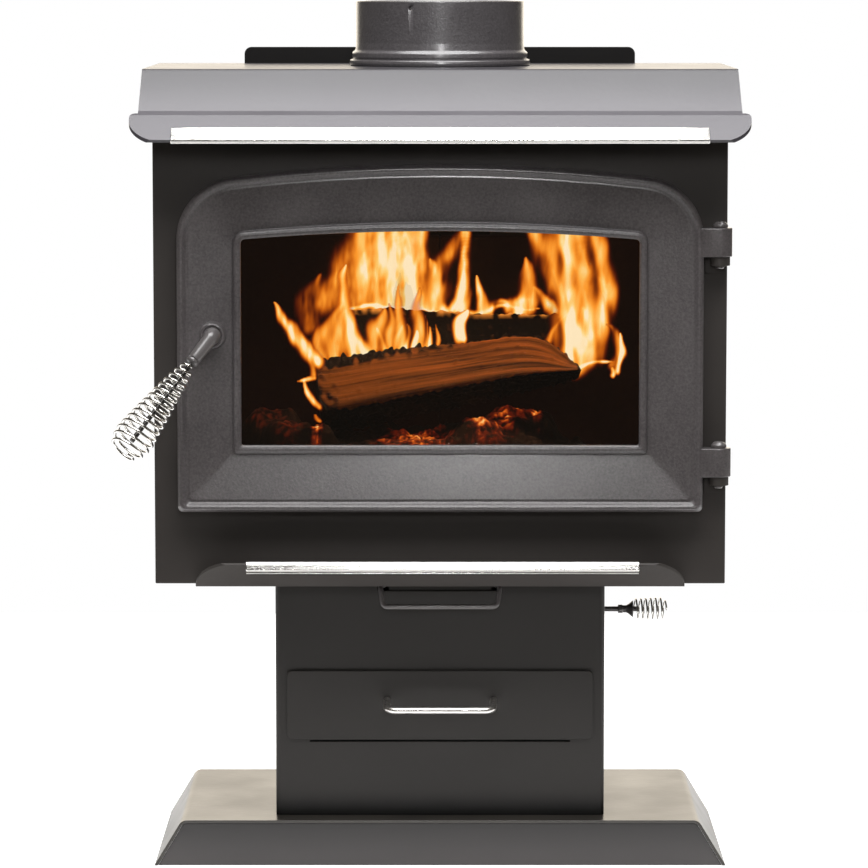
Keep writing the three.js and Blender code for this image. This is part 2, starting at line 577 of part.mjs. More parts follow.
// Ash drawer: an open tray with a front plate and a bent rod handle, on two runners.
const trayFront = pedestal.front + gap;
const trayBack = 225;
const traySheet = 1.5;
piece('ash_drawer_tray', cut(
  block(-drawer.tray, drawer.tray, trayFront, trayBack, drawer.floor, drawer.trayTop),
  block(
    -drawer.tray + traySheet, drawer.tray - traySheet, trayFront + traySheet, trayBack - traySheet,
    drawer.floor + traySheet, drawer.trayTop + 5,
  ),
), paint());
const drawerFace = pedestal.front - 3;
piece('ash_drawer_front', uprightPlate(
  roundedRectangle(-drawer.halfWidth, drawer.bottom, drawer.halfWidth, drawer.top, 5), drawerFace, 2.7, 4,
), paint());
const pull = { halfWidth: 52.5, root: 157, bar: 153, front: -3, radius: 3 };
piece('ash_drawer_handle', bentRod([
  [-pull.halfWidth + 1.5, drawerFace - pullGap, pull.root], [-pull.halfWidth + 1.5, pull.front, pull.bar],
  [pull.halfWidth - 1.5, pull.front, pull.bar], [pull.halfWidth - 1.5, drawerFace - pullGap, pull.root],
], pull.radius, 9), nickel());
[['left', -1], ['right', 1]].forEach(([side, sign]) => {
  const wall = pedestal.halfWidth - pedestal.sheet - gap;
  const web = block(wall - 2, wall, 45, 232, 110, 150);
  const shelf = block(118, wall - 1, 45, 232, drawer.floor - gap - 2, drawer.floor - gap);
  const runner = join(web, shelf);
  piece(`drawer_runner_${side}`, sign > 0 ? runner : surface(solid(runner).mirror([1, 0, 0])), paint());
});

// Ash gate: a plate under the hole in the floor, on two rails, with a U-shaped pull.
piece('ash_gate_plate', block(
  -gate.halfWidth, gate.halfWidth, gate.front, gate.back, gate.bottom, gate.bottom + gate.thick,
), paint());
const gateMiddle = gate.bottom + gate.thick / 2;
piece('ash_gate_pull', bentRod([
  [-52, gate.front - pullGap, gateMiddle], [-57, 24, gateMiddle], [-54, 15, 250],
  [54, 15, 250], [57, 24, gateMiddle], [52, gate.front - pullGap, gateMiddle],
], 2.5, 5), paint());
[['left', -1], ['right', 1]].forEach(([side, sign]) => {
  const web = block(gate.halfWidth + 0.6, gate.halfWidth + 3.6, 56, 148, gate.bottom - 4, body.bottom - gap);
  const ledge = block(gate.halfWidth - 6, gate.halfWidth + 2, 56, 148, gate.bottom - 4, gate.bottom - gap);
  const rail = join(web, ledge);
  piece(`gate_rail_${side}`, sign > 0 ? rail : surface(solid(rail).mirror([1, 0, 0])), paint());
});

// Air control: a rod through the pedestal's right side carries a damper plate under the
// intake box; outside it ends in a flared ferrule and a wire knob.
const boxBottom = airControl.z + 6.5;
piece('air_intake_box', cut(
  join(
    block(-50, 50, 155, 282, 250, body.bottom - gap),
    block(-50, 50, 155, 215, boxBottom, 252),
  ),
  block(-48, 48, 157, 280, 252, body.bottom + 5),
  block(-48, 48, 157, 213, boxBottom + 2, 255),
  block(-36, 0, 165, 205, boxBottom - 5, boxBottom + 5),
), paint());
const damper = [airControl.z + airControl.rod + gap, boxBottom - gap];
piece('air_damper_plate', join(
  block(-42, 6, 162, 208, ...damper),
  block(-42, -36, 181, 189, airControl.z - 4, damper[1]),
), paint());
const rodEnd = airControl.knobStart - 4;
const onRod = (x) => new THREE.Vector3(x, airControl.y, airControl.z);
piece('air_control_rod', roundBar(
  [onRod(-36 + gap), onRod(rodEnd + 8)], [airControl.rod, airControl.rod], 12,
), paint());
const ferruleProfile = [
  [2.8, 0], [4.2, 0], [4.2, 4], [3.6, 5], [3.6, 8], [5, 10.5],
  [8.2, 14], [8.2, 15], [4.5, 13], [2.8, 11], [2.8, 0],
].map(([r, along]) => new THREE.Vector2(r, along));
piece('air_control_ferrule', surface(solid(
  new THREE.LatheGeometry(ferruleProfile, 16).rotateZ(-Math.PI / 2)
    .translate(airControl.knobStart - 15, airControl.y, airControl.z),
)), paint());
const knobRadius = (part) => (part < 0.75
  ? 9.6 + 1.2 * (part / 0.75)
  : 4 + 6.8 * Math.sqrt(1 - ((part - 0.75) / 0.25) ** 2));
piece('air_control_knob', coil(
  onRod(airControl.knobStart + 1.5), onRod(airControl.knobStart + airControl.knobLength),
  airControl.turns, knobRadius, airControl.wire, 9,
), nickel());

// Air system and lining inside the firebox.
const brickBack = 226;
const channel = { width: 25, wall: 2, front: 34, back: 262, bottom: 650, top: 700 };
const tubes = { z: 676, radius: 10, bore: 8.5, front: 105, rear: 200 };
piece('air_riser', cut(
  block(-50, 50, brickBack + brick + gap, sideBack, floorTop + gap, 690),
  block(-48, 48, brickBack + brick + gap + 2, sideBack + 5, floorTop - 5, 700),
), paint());
[['left', -1], ['right', 1]].forEach(([side, sign]) => {
  const { width, wall, front, back, bottom, top } = channel;
  const duct = cut(
    block(inside - width, inside, front, back, bottom, top),
    block(inside - width + wall, inside - wall, front - 5, back + 5, bottom + wall, top - wall),
  );
  piece(`air_channel_${side}`, sign > 0 ? duct : surface(solid(duct).mirror([1, 0, 0])), paint());
});
const tubeHalf = inside - channel.width - gap;
['front', 'rear'].forEach((place) => {
  const y = tubes[place];
  const tube = cylinder([-tubeHalf, y, tubes.z], [tubeHalf, y, tubes.z], tubes.radius, 20);
  const bore = cylinder([-tubeHalf - 5, y, tubes.z], [tubeHalf + 5, y, tubes.z], tubes.bore, 20);
  piece(`air_tube_${place}`, cut(tube, bore), paint());
});
const tubeTop = tubes.z + tubes.radius;
piece('baffle_board', block(-tubeHalf, tubeHalf, 60, 257, tubeTop + gap, 704), firebrick());
piece('air_wash_deflector', join(
  block(-210, 210, sideFront, 8.5, 662, 700),
  block(-210, 210, sideFront, 34, 662, 664.5),
), paint());
const brickTop = 590;
const brickFoot = floorTop + gap;
[['left', -1], ['right', 1]].forEach(([side, sign]) => {
  const wall = block(inside - brick, inside, 34, brickBack + brick, brickFoot, brickTop);
  const floor = block(48, inside - brick - gap, 34, brickBack - gap, brickFoot, brickFoot + brick);
  const mirrored = (geometry) => (sign > 0 ? geometry : surface(solid(geometry).mirror([1, 0, 0])));
  piece(`firebrick_${side}_wall`, mirrored(wall), firebrick());
  piece(`firebrick_${side}_floor`, mirrored(floor), firebrick());
  piece(`firebrick_${side}_back`, mirrored(
    block(gap / 2, inside - brick - gap, brickBack, brickBack + brick, brickFoot, brickTop),
  ), firebrick());
});
piece('firebrick_middle_floor', block(
  -48 + gap, 48 - gap, 135, brickBack - gap, brickFoot, brickFoot + brick,
), firebrick());

// The origin is the bottom centre of the stove's whole box.
const bounds = new THREE.Box3().setFromObject(stove);
const middle = bounds.getCenter(new THREE.Vector3());
stove.position.set(-middle.x, -middle.y, -bounds.min.z);
const model = new THREE.Group();
model.add(stove);
export default model;
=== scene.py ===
import json
import math

import bmesh
import bpy
import numpy as np
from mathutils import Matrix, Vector

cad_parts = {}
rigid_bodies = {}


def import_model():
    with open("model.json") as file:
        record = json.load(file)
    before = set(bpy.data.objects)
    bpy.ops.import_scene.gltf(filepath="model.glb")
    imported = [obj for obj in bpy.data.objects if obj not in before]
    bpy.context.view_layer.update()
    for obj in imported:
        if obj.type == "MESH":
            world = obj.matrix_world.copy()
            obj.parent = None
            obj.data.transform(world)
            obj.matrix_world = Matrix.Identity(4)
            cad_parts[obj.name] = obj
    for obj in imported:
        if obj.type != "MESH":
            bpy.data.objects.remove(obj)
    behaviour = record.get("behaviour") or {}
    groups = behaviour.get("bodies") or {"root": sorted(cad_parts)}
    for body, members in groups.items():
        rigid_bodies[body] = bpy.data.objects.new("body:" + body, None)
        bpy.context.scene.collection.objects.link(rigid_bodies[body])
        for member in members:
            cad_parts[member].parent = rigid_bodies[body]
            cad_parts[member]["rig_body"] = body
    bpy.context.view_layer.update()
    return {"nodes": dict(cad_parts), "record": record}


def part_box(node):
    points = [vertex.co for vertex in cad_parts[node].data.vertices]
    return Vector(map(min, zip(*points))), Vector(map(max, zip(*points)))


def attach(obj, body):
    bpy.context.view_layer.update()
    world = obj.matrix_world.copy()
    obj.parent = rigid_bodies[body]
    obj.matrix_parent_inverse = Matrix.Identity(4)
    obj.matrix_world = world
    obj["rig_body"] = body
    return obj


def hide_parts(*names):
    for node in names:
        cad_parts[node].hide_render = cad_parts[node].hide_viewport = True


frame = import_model()
nodes = frame["nodes"]
bodyOf = {node: body for body, members in frame["record"]["behaviour"]["bodies"].items()
          for node in members}
print("frame loaded:", len(nodes), "nodes")

# Shapes are worked out in millimetres in the workshop's own frame: x from the stove's centre
# plane, y back from the front plate's face, z up from the floor. They are moved at the end.
plateLow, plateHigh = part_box("firebox_front_plate")
shopOrigin = np.array([(plateLow.x + plateHigh.x) / 2, plateLow.y, 0.0])


def shopBox(node):  # the lowest and highest corner of a node, in the workshop's frame
    return [(np.array(corner) - shopOrigin) * 1000 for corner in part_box(node)]


def linear(hexColour):  # sRGB hex to the linear colour that shaders take
    parts = [int(hexColour[i:i + 2], 16) / 255 for i in (1, 3, 5)]
    return [p / 12.92 if p <= 0.04045 else ((p + 0.055) / 1.055) ** 2.4 for p in parts] + [1.0]


# ---- camera, world and lights

cameraSettings = {"lens": 174.1, "sensor": 36.0, "distance": 3941.7, "height": 851.9, "aside": -5.8,
                  "tilt": 6.294}
cameraData = bpy.data.cameras.new("stoveCamera")
cameraData.lens = cameraSettings["lens"]
cameraData.sensor_width = cameraSettings["sensor"]
camera = bpy.data.objects.new("stoveCamera", cameraData)
cameraShop = np.array([cameraSettings["aside"], -cameraSettings["distance"], cameraSettings["height"]])
camera.location = cameraShop * 0.001 + shopOrigin
camera.rotation_euler = (math.radians(90 - cameraSettings["tilt"]), 0, 0)
bpy.context.scene.collection.objects.link(camera)
bpy.context.scene.camera = camera
bpy.context.scene.view_settings.view_transform = "Standard"


def addNode(tree, kind, values=None, links=None, **settings):
    # one node, with its settings, its sockets' values and the sockets that feed it
    node = tree.nodes.new(kind)
    for name, value in settings.items():
        setattr(node, name, value)
    for socket, value in (values or {}).items():
        node.inputs[socket].default_value = value
    for socket, source in (links or {}).items():
        tree.links.new(source, node.inputs[socket])
    return node


def remap(tree, source, low, high, newLow=0.0, newHigh=1.0, **settings):
    # a value's range stretched to a new one and held at its ends
    return addNode(tree, "ShaderNodeMapRange", {1: low, 2: high, 3: newLow, 4: newHigh}, {0: source},
                   **settings).outputs[0]


worldSettings = {"seen": "#ffffff", "mirrored": "#fff4e2", "front": 0.072, "behind": 2.2}
world = bpy.data.worlds.new("studio")
bpy.context.scene.world = world
world.use_nodes = True
sky = world.node_tree
sky.nodes.clear()
skyPlace = addNode(sky, "ShaderNodeTexCoord")
skyParts = addNode(sky, "ShaderNodeSeparateXYZ", links={0: skyPlace.outputs["Generated"]})
skyBack = remap(sky, skyParts.outputs["Y"], 0.82, 0.97, interpolation_type="SMOOTHSTEP")
skyUp = remap(sky, skyParts.outputs["Z"], -0.12, 0.0)
skyWhite = addNode(sky, "ShaderNodeMath", links={0: skyBack, 1: skyUp}, operation="MULTIPLY").outputs[0]
skyStrength = remap(sky, skyWhite, 0.0, 1.0, worldSettings["front"], worldSettings["behind"])
skyLight = addNode(sky, "ShaderNodeBackground", {"Color": linear(worldSettings["mirrored"])},
                   {"Strength": skyStrength})
skySeen = addNode(sky, "ShaderNodeBackground", {"Color": linear(worldSettings["seen"]), "Strength": 1.0})
skyPath = addNode(sky, "ShaderNodeLightPath")
skyMix = addNode(sky, "ShaderNodeMixShader",
                 links={0: skyPath.outputs["Is Camera Ray"], 1: skyLight.outputs[0], 2: skySeen.outputs[0]})
addNode(sky, "ShaderNodeOutputWorld", links={0: skyMix.outputs[0]})

lightSettings = {  # place and aim in mm in the workshop's frame, size in m, power in W, spread in degrees
    "overheadSoftbox": {"place": (0, -440, 2700), "aim": (0, 0, 300), "size": (2.0, 2.6), "power": 134,
                        "colour": "#ffffff", "spread": 180},
    "frontStrip": {"place": (60, -2600, 1500), "aim": (0, 190, 760), "size": (0.16, 0.9), "power": 0.5,
                   "colour": "#ffffff", "spread": 24},
    "fireGlow": {"place": (0, 46, 656), "aim": (10, 118, 455), "size": (0.3, 0.03), "power": 0.19,
                 "colour": "#ffd2a6", "spread": 62},
}
for name, chosen in lightSettings.items():
    lamp = bpy.data.lights.new(name, "AREA")
    lamp.shape = "RECTANGLE"
    lamp.size, lamp.size_y = chosen["size"]
    lamp.energy = chosen["power"]
    lamp.spread = math.radians(chosen["spread"])
    lamp.color = linear(chosen["colour"])[:3]
    holder = bpy.data.objects.new(name, lamp)
    place = np.array(chosen["place"]) * 0.001 + shopOrigin
    aim = np.array(chosen["aim"]) * 0.001 + shopOrigin
    holder.location = place
    holder.rotation_euler = Vector(aim - place).to_track_quat("-Z", "Y").to_euler()
    bpy.context.scene.collection.objects.link(holder)
print("camera, world and lights ready")


# ---- materials

def newMaterial(name, **constants):
    # an empty principled material, with the constants on the shader's own sockets
    material = bpy.data.materials.new(name)
    material.use_nodes = True
    shader = material.node_tree.nodes["Principled BSDF"]
    for socket, value in constants.items():
        shader.inputs[socket.replace("_", " ")].default_value = value
    return material, material.node_tree, shader


def objectPlace(tree):
    return addNode(tree, "ShaderNodeTexCoord").outputs["Object"]


def perMetre(millimetres):  # a texture scale whose features are about that many millimetres
    return 1000 / millimetres


def noise(tree, place, size, detail, **sockets):
    return addNode(tree, "ShaderNodeTexNoise", {"Scale": perMetre(size), "Detail": detail, **sockets},
                   {"Vector": place}).outputs[0]


def stretched(tree, place, scale):
    return addNode(tree, "ShaderNodeMapping", {"Scale": scale}, {"Vector": place}).outputs[0]


def weighted(tree, source, share, added=None):
    # a value times its share, plus another value where one is given
    links = {0: source} if added is None else {0: source, 2: added}
    return addNode(tree, "ShaderNodeMath", {1: share}, links,
                   operation="MULTIPLY" if added is None else "MULTIPLY_ADD").outputs[0]


def toneRamp(tree, source, *stops):
    # a colour ramp through (position, hex colour) stops, lowest first
    ramp = addNode(tree, "ShaderNodeValToRGB", links={0: source})
    elements = ramp.color_ramp.elements
    elements.remove(elements[1])
    elements[0].position, elements[0].color = stops[0][0], linear(stops[0][1])
    for position, colour in stops[1:]:
        elements.new(position).color = linear(colour)
    return ramp.outputs[0]


def relief(tree, shader, height, strength, depth, under=None):
    # a bump of that depth in millimetres, laid over another where one is given
    links = {"Height": height} if under is None else {"Height": height, "Normal": under}
    bump = addNode(tree, "ShaderNodeBump", {"Strength": strength, "Distance": depth * 0.001},
                   links).outputs[0]
    tree.links.new(bump, shader.inputs["Normal"])
    return bump


def sprayedPaint(name, tones, roughness, grain=0.9, depth=0.05, coat=0.0, coatRoughness=0.3, shadeFade=None,
                 specular=0.5):
    # High-temperature silicone paint sprayed on sheet steel: dry spray grain, a faint orange
    # peel under it, and slow clouds in tone and sheen where the coats overlap. A shade fade
    # makes the tone fall to a share of itself towards a given height: painted shade.
    material, tree, shader = newMaterial(name, Coat_Weight=coat, Coat_Roughness=coatRoughness,
                                         Specular_IOR_Level=specular)
    place = objectPlace(tree)
    clouds = noise(tree, place, 70, 3.0)
    spray = noise(tree, place, grain, 2.0, Roughness=0.6)
    peel = noise(tree, place, 7, 1.0)
    colour = toneRamp(tree, weighted(tree, clouds, 0.7, weighted(tree, spray, 0.3)), (0.3, tones[0]),
                      (0.7, tones[1]))
    if shadeFade:
        height = addNode(tree, "ShaderNodeSeparateXYZ", links={0: place}).outputs["Z"]
        share = remap(tree, height, shadeFade[0] / 1000, shadeFade[1] / 1000, shadeFade[2], 1.0,
                      interpolation_type="SMOOTHSTEP")
        colour = addNode(tree, "ShaderNodeVectorMath", links={0: colour, "Scale": share},
                         operation="SCALE").outputs[0]
    tree.links.new(colour, shader.inputs["Base Color"])
    tree.links.new(remap(tree, clouds, 0.3, 0.7, roughness - 0.04, roughness + 0.05),
                   shader.inputs["Roughness"])
    relief(tree, shader, spray, 0.5, depth, relief(tree, shader, peel, 0.25, 0.4))
    return material


def sandCastIron(name, tones, roughness, grain=1.5, depth=0.22, coat=0.0):
    # Grey iron cast in green sand and painted: rounded sand grains all over, small pits
    # between them, and slow changes in tone where the mould was coarser.
    material, tree, shader = newMaterial(name, Coat_Weight=coat, Coat_Roughness=0.2)
    place = objectPlace(tree)
    clouds = noise(tree, place, 45, 4.0)
    sand = noise(tree, place, grain, 3.0, Roughness=0.65)
    pits = addNode(tree, "ShaderNodeTexVoronoi", {"Scale": perMetre(grain * 2.2)}, {"Vector": place})
    colour = toneRamp(tree, weighted(tree, clouds, 0.45, sand), (0.5, tones[0]), (0.95, tones[1]))
    tree.links.new(colour, shader.inputs["Base Color"])
    tree.links.new(remap(tree, clouds, 0.3, 0.7, roughness - 0.06, roughness + 0.06),
                   shader.inputs["Roughness"])
    relief(tree, shader, weighted(tree, pits.outputs[0], 0.35, sand), 0.8, depth)
    return material


def brightMetal(name, tone, roughness, draw=(1, 1, 1), marked=0.15):
    # Nickel-plated steel, polished: fine draw marks along the wire or strip, slight haze.
    material, tree, shader = newMaterial(name, Metallic=1.0, Base_Color=linear(tone))
    marks = noise(tree, stretched(tree, objectPlace(tree), draw), 0.8, 3.0)
    tree.links.new(remap(tree, marks, 0.3, 0.7, roughness * 0.7, roughness * 1.4),
                   shader.inputs["Roughness"])
    relief(tree, shader, marks, marked, 0.02)
    return material


def layeredNoise(name, tones, size, roughness, depth, fine, metallic=0.0, specular=0.5):
    # A rough dry surface: large stains mixed with fine grit, both in tone and in height.
    material, tree, shader = newMaterial(name, Roughness=roughness, Metallic=metallic,
                                         Specular_IOR_Level=specular)
    place = objectPlace(tree)
    blend = weighted(tree, noise(tree, place, fine, 3.0), 0.3, noise(tree, place, size, 5.0, Roughness=0.6))
    tree.links.new(toneRamp(tree, blend, (0.45, tones[0]), (0.85, tones[1])), shader.inputs["Base Color"])
    relief(tree, shader, blend, 0.7, depth)
    return material


blackPaint = sprayedPaint("mattBlackStovePaint", ("#332e2b", "#3a3532"), 0.6)
# painted shade: the fade darkens the pedestal to near black from 70 mm down to 47 mm, where it meets the
# base
pedestalPaint = sprayedPaint("mattCharcoalPedestalPaint", ("#272422", "#2c2927"), 0.56, shadeFade=(47, 70, 0.04))
shieldPaint = sprayedPaint("mattBlackShieldPaint", ("#0d0b0a", "#121010"), 0.8, specular=0.22)
# painted shade: the fade darkens the slope to half its tone from 715 mm up to 756 mm, near its top edge
topPaint = sprayedPaint("satinGreyCooktopPaint", ("#444147", "#4a474d"), 0.42, depth=0.03, coat=0.38,
                        coatRoughness=0.2, shadeFade=(756, 715, 0.5))
basePaint = sprayedPaint("satinBlackBasePaint", ("#2f2c29", "#3c3833"), 0.36, depth=0.03, coat=0.27,
                         coatRoughness=0.2)
# painted shade: the fade darkens the base front panel toward its top edge, to 0.42 of its tone at 41 mm
panelPaint = sprayedPaint("satinGreyPanelPaint", ("#3b3737", "#423e3e"), 0.45, coat=0.3, shadeFade=(41, 4, 0.42))
castDoor = sandCastIron("sandCastDoorIron", ("#484445", "#645f60"), 0.36, grain=2.4, depth=0.5, coat=0.65)
castCollar = sandCastIron("sandCastCollarIron", ("#444143", "#575456"), 0.32, grain=2.2, depth=0.5,
                          coat=0.9)
castArm = sandCastIron("castHandleIron", ("#565252", "#6a6666"), 0.3, grain=1.0, depth=0.06, coat=0.7)
nickelStrip = brightMetal("brightNickelStrip", "#efedea", 0.2, (0.002, 1, 1), 0.0)
nickelBar = brightMetal("polishedNickelBar", "#e6e3df", 0.3, (0.05, 1, 1), 0.01)
nickelWire = brightMetal("brightNickelWire", "#e2e0dc", 0.15, marked=0.03)
rodSteel = brightMetal("blackenedSteelRod", "#4c4a48", 0.3, marked=0.05)
sootyBrick = layeredNoise("sootyFirebrick", ("#080504", "#1d120c"), 60, 0.95, 0.6, 2.0, specular=0.1)
brickShader = sootyBrick.node_tree.nodes["Principled BSDF"]
# painted firelight: a faint red emission on the bricks and baffle board stands in for the fire's light on
# them
brickShader.inputs["Emission Color"].default_value = linear("#3a1206")  # the fire's own red on the bricks
brickShader.inputs["Emission Strength"].default_value = 0.06
rope = layeredNoise("knittedGlassRope", ("#3c3936", "#6b6763"), 3.0, 0.95, 0.8, 1.0)
innerSteel = layeredNoise("sootedInnerSteel", ("#0a0807", "#171210"), 40, 0.8, 0.1, 1.5, specular=0.12)
plainSteel = layeredNoise("millFinishSteel", ("#34312f", "#4a4643"), 50, 0.55, 0.05, 1.2, metallic=0.6)
print("materials ready")


# ---- mesh helpers

def gridFaces(rows, columns, closeRows=False, closeColumns=True):
    # the quads of a grid of rows x columns points, joined round in the directions asked for
    r = np.arange(rows if closeRows else rows - 1)
    c = np.arange(columns if closeColumns else columns - 1)
    r, c = [axis.ravel() for axis in np.meshgrid(r, c, indexing="ij")]
    nextRow, nextColumn = (r + 1) % rows, (c + 1) % columns
    return np.stack([r * columns + c, nextRow * columns + c, nextRow * columns + nextColumn,
                     r * columns + nextColumn], 1)


def makePiece(name, points, faces, material, body, slot=None, stands=(), smoothAngle=40.0, uv=None,
              attributes=None):
    # one object from points in mm; doubles are merged, which closes poles and seams
    mesh = bpy.data.meshes.new(name)
    points = np.asarray(points, float).reshape(-1, 3) * 0.001 + shopOrigin
    mesh.from_pydata(points.tolist(), [], [list(face) for face in np.asarray(faces).tolist()]
                     if isinstance(faces, np.ndarray) else faces)
    for key, values in (attributes or {}).items():
        store = mesh.attributes.new(key, "FLOAT", "POINT").data
        store.foreach_set("value", np.asarray(values, np.float32).ravel())
    if uv is not None:
        corner = np.empty(len(mesh.loops), np.int32)
        mesh.loops.foreach_get("vertex_index", corner)
        mesh.uv_layers.new(name="grain").data.foreach_set("uv", np.asarray(uv, np.float32)[corner].ravel())
    work = bmesh.new()
    work.from_mesh(mesh)
    bmesh.ops.remove_doubles(work, verts=work.verts, dist=1e-6)
    bmesh.ops.dissolve_degenerate(work, dist=1e-7, edges=work.edges)
    bmesh.ops.recalc_face_normals(work, faces=work.faces)
    work.to_mesh(mesh)
    work.free()
    thing = bpy.data.objects.new(name, mesh)
    bpy.context.scene.collection.objects.link(thing)
    finishPiece(thing, material, body, stands, smoothAngle)
    return thing


def finishPiece(thing, material, body, stands=(), smoothAngle=40.0):
    mesh = thing.data
    mesh.materials.clear()
    mesh.materials.append(material)
    mesh.polygons.foreach_set("use_smooth", np.ones(len(mesh.polygons), bool))
    mesh.set_sharp_from_angle(angle=math.radians(smoothAngle))
    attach(thing, body)
    if stands:
        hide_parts(*stands)


def bevelledCopy(node, name, material, width=0.8, segments=2):
    # the node's own shape with its flat facets joined and its edges broken as a maker would
    thing = bpy.data.objects.new(name, nodes[node].data.copy())
    bpy.context.scene.collection.objects.link(thing)
    work = bmesh.new()
    work.from_mesh(thing.data)
    bmesh.ops.remove_doubles(work, verts=work.verts, dist=1e-5)
    bmesh.ops.dissolve_limit(work, angle_limit=math.radians(0.4), verts=work.verts, edges=work.edges)
    work.to_mesh(thing.data)
    work.free()
    finishPiece(thing, material, bodyOf[node], (node,), 30.0)
    if width:
        bevel = thing.modifiers.new("brokenEdges", "BEVEL")
        bevel.width = width * 0.001
        bevel.segments = segments
        bevel.limit_method = "ANGLE"
        bevel.angle_limit = math.radians(35)
        bevel.harden_normals = True
        bevel.use_clamp_overlap = True
    return thing


def applyBoolean(thing, tool, operation):
    # joins or cuts with a tool object, keeps the result and removes the tool
    step = thing.modifiers.new("cut", "BOOLEAN")
    step.operation, step.object, step.solver = operation, tool, "EXACT"
    graph = bpy.context.evaluated_depsgraph_get()
    result = bpy.data.meshes.new_from_object(thing.evaluated_get(graph))
    thing.modifiers.clear()
    old = thing.data
    thing.data = result
    result.name = old.name
    bpy.data.objects.remove(tool)


def cornerArc(here, before, after, radius, steps):
    # the arc that touches both sides of a corner, which run to the points before and after; a
    # point on each side just beyond the arc comes with it, so that the flats keep a flat sheen
    sides = np.array([before, after]) - here
    lengths = np.linalg.norm(sides, axis=1)
    before, after = sides / lengths[:, None]
    half = math.acos(np.clip(before @ after, -1, 1)) / 2
    if radius <= 0 or half > 1.55:
        return None, here[None]
    reach = min(radius / math.tan(half), 0.48 * lengths.min())
    radius = reach * math.tan(half)
    middle = here + (before + after) / np.linalg.norm(before + after) * radius / math.sin(half)
    spoke = (here + before * reach - middle) / radius
    turn = np.linspace(0, math.pi - 2 * half, steps)[:, None]
    beyond = [here + side * (min(0.4 * radius, 0.49 * length - reach) + reach)
              for side, length in zip((before, after), lengths)]
    return beyond, middle + radius * (spoke * np.cos(turn) - before * np.sin(turn))


def roundedLoop(corners, steps=5, closed=True):
    # corners as (a, b, radius): each is replaced by an arc that touches both of its sides
    places = np.array([corner[:2] for corner in corners], float)
    out = []
    for i, here in enumerate(places):
        if not closed and i in (0, len(places) - 1):
            out.append(here[None])
            continue
        beyond, arc = cornerArc(here, places[i - 1], places[(i + 1) % len(places)], corners[i][2], steps)
        out += [arc] if beyond is None else [beyond[:1], arc, beyond[1:]]
    return np.concatenate(out)


def roundedPath(points, radius, steps=8):
    # straight runs in space joined by arcs that touch both runs
    points = np.asarray(points, float)
    arcs = [cornerArc(points[i], points[i - 1], points[i + 1], radius, steps)[1]
            for i in range(1, len(points) - 1)]
    return np.concatenate([points[:1], *arcs, points[-1:]])


def sweep(path, radii, sides, reference, capped=True):
    # circles square to a path; reference is a direction the path never runs along
    path = np.asarray(path, float)
    radii = np.broadcast_to(np.asarray(radii, float), len(path)).copy()
    along = np.gradient(path, axis=0)
    along /= np.linalg.norm(along, axis=1)[:, None]
    across = np.cross(along, np.broadcast_to(reference, path.shape))
    across /= np.linalg.norm(across, axis=1)[:, None]
    up = np.cross(across, along)
    if capped:  # a domed point at each end closes the bar
        path = np.concatenate([path[:1], path, path[-1:]])
        across, up = [np.concatenate([v[:1], v, v[-1:]]) for v in (across, up)]
        radii = np.concatenate([[0], radii, [0]])
    angle = np.linspace(0, 2 * math.pi, sides, endpoint=False)
    ring = across[:, None] * np.cos(angle)[None, :, None] + up[:, None] * np.sin(angle)[None, :, None]
    points = path[:, None] + radii[:, None, None] * ring
    return points.reshape(-1, 3), gridFaces(len(path), sides)


def lathe(profile, centre, axis, sides, closed=False):
    # a profile of (radius, distance along the axis) turned about the axis through centre
    profile = np.asarray(profile, float)
    axis = np.asarray(axis, float)
    across = np.cross(axis, [0.0, 0.0, 1.0] if abs(axis[2]) < 0.9 else [0.0, 1.0, 0.0])
    across /= np.linalg.norm(across)
    up = np.cross(axis, across)
    angle = np.linspace(0, 2 * math.pi, sides, endpoint=False)
    spokes = across * np.cos(angle)[:, None] + up * np.sin(angle)[:, None]
    points = (np.asarray(centre, float) + profile[:, None, 1:2] * axis
              + profile[:, None, 0:1] * spokes[None])
    return points.reshape(-1, 3), gridFaces(len(profile), sides, closeRows=closed)


def waves(points, size, seed, count=20):
    # a soft random field of about unit height: many sine waves in seeded directions
    dice = np.random.default_rng(seed)
    direction = dice.normal(size=(count, points.shape[1]))
    direction /= np.linalg.norm(direction, axis=1)[:, None]
    number = 2 * math.pi / (size * dice.uniform(0.6, 1.7, count))
    phase = dice.uniform(0, 2 * math.pi, count)
    return np.sin(points @ (direction * number[:, None]).T + phase).sum(1) / math.sqrt(count / 2)


# ---- sheet-metal pieces: the nodes' own shapes with broken edges

sheetPieces = {
    "firebox_front_plate": ("frontPlate", blackPaint, 1.0),
    "firebox_left_side": ("leftSidePlate", blackPaint, 1.0),
    "firebox_right_side": ("rightSidePlate", blackPaint, 1.0),
    "firebox_back": ("backPlate", blackPaint, 1.0),
    "pedestal_shell": ("pedestalWrap", pedestalPaint, 0.6),
    "pedestal_rear_panel": ("pedestalRearPanel", pedestalPaint, 0.6),
    "ash_drawer_front": ("drawerFace", pedestalPaint, 0.7),
    "ash_lip": ("ashLipSheet", blackPaint, 0.6),
    "base_plate": ("basePlateSheet", basePaint, 0.9),
    "base_front_panel": ("baseFrontPanel", panelPaint, 0.4),
    "base_rear_panel": ("baseRearPanel", panelPaint, 0.4),
    "rear_heat_shield": ("rearShieldSheet", shieldPaint, 0.4),
    "hinge_bracket_lower": ("lowerHingeLug", blackPaint, 0.7),
    "hinge_bracket_upper": ("upperHingeLug", blackPaint, 0.7),
    "air_intake_box": ("intakeBox", blackPaint, 0.6),
}
for node, (name, material, width) in sheetPieces.items():
    bevelledCopy(node, name, material, width)
for node in [n for n in nodes if n.startswith("firebrick_")]:
    bevelledCopy(node, node.replace("firebrick_", "chippedBrick_"), sootyBrick, 2.2)
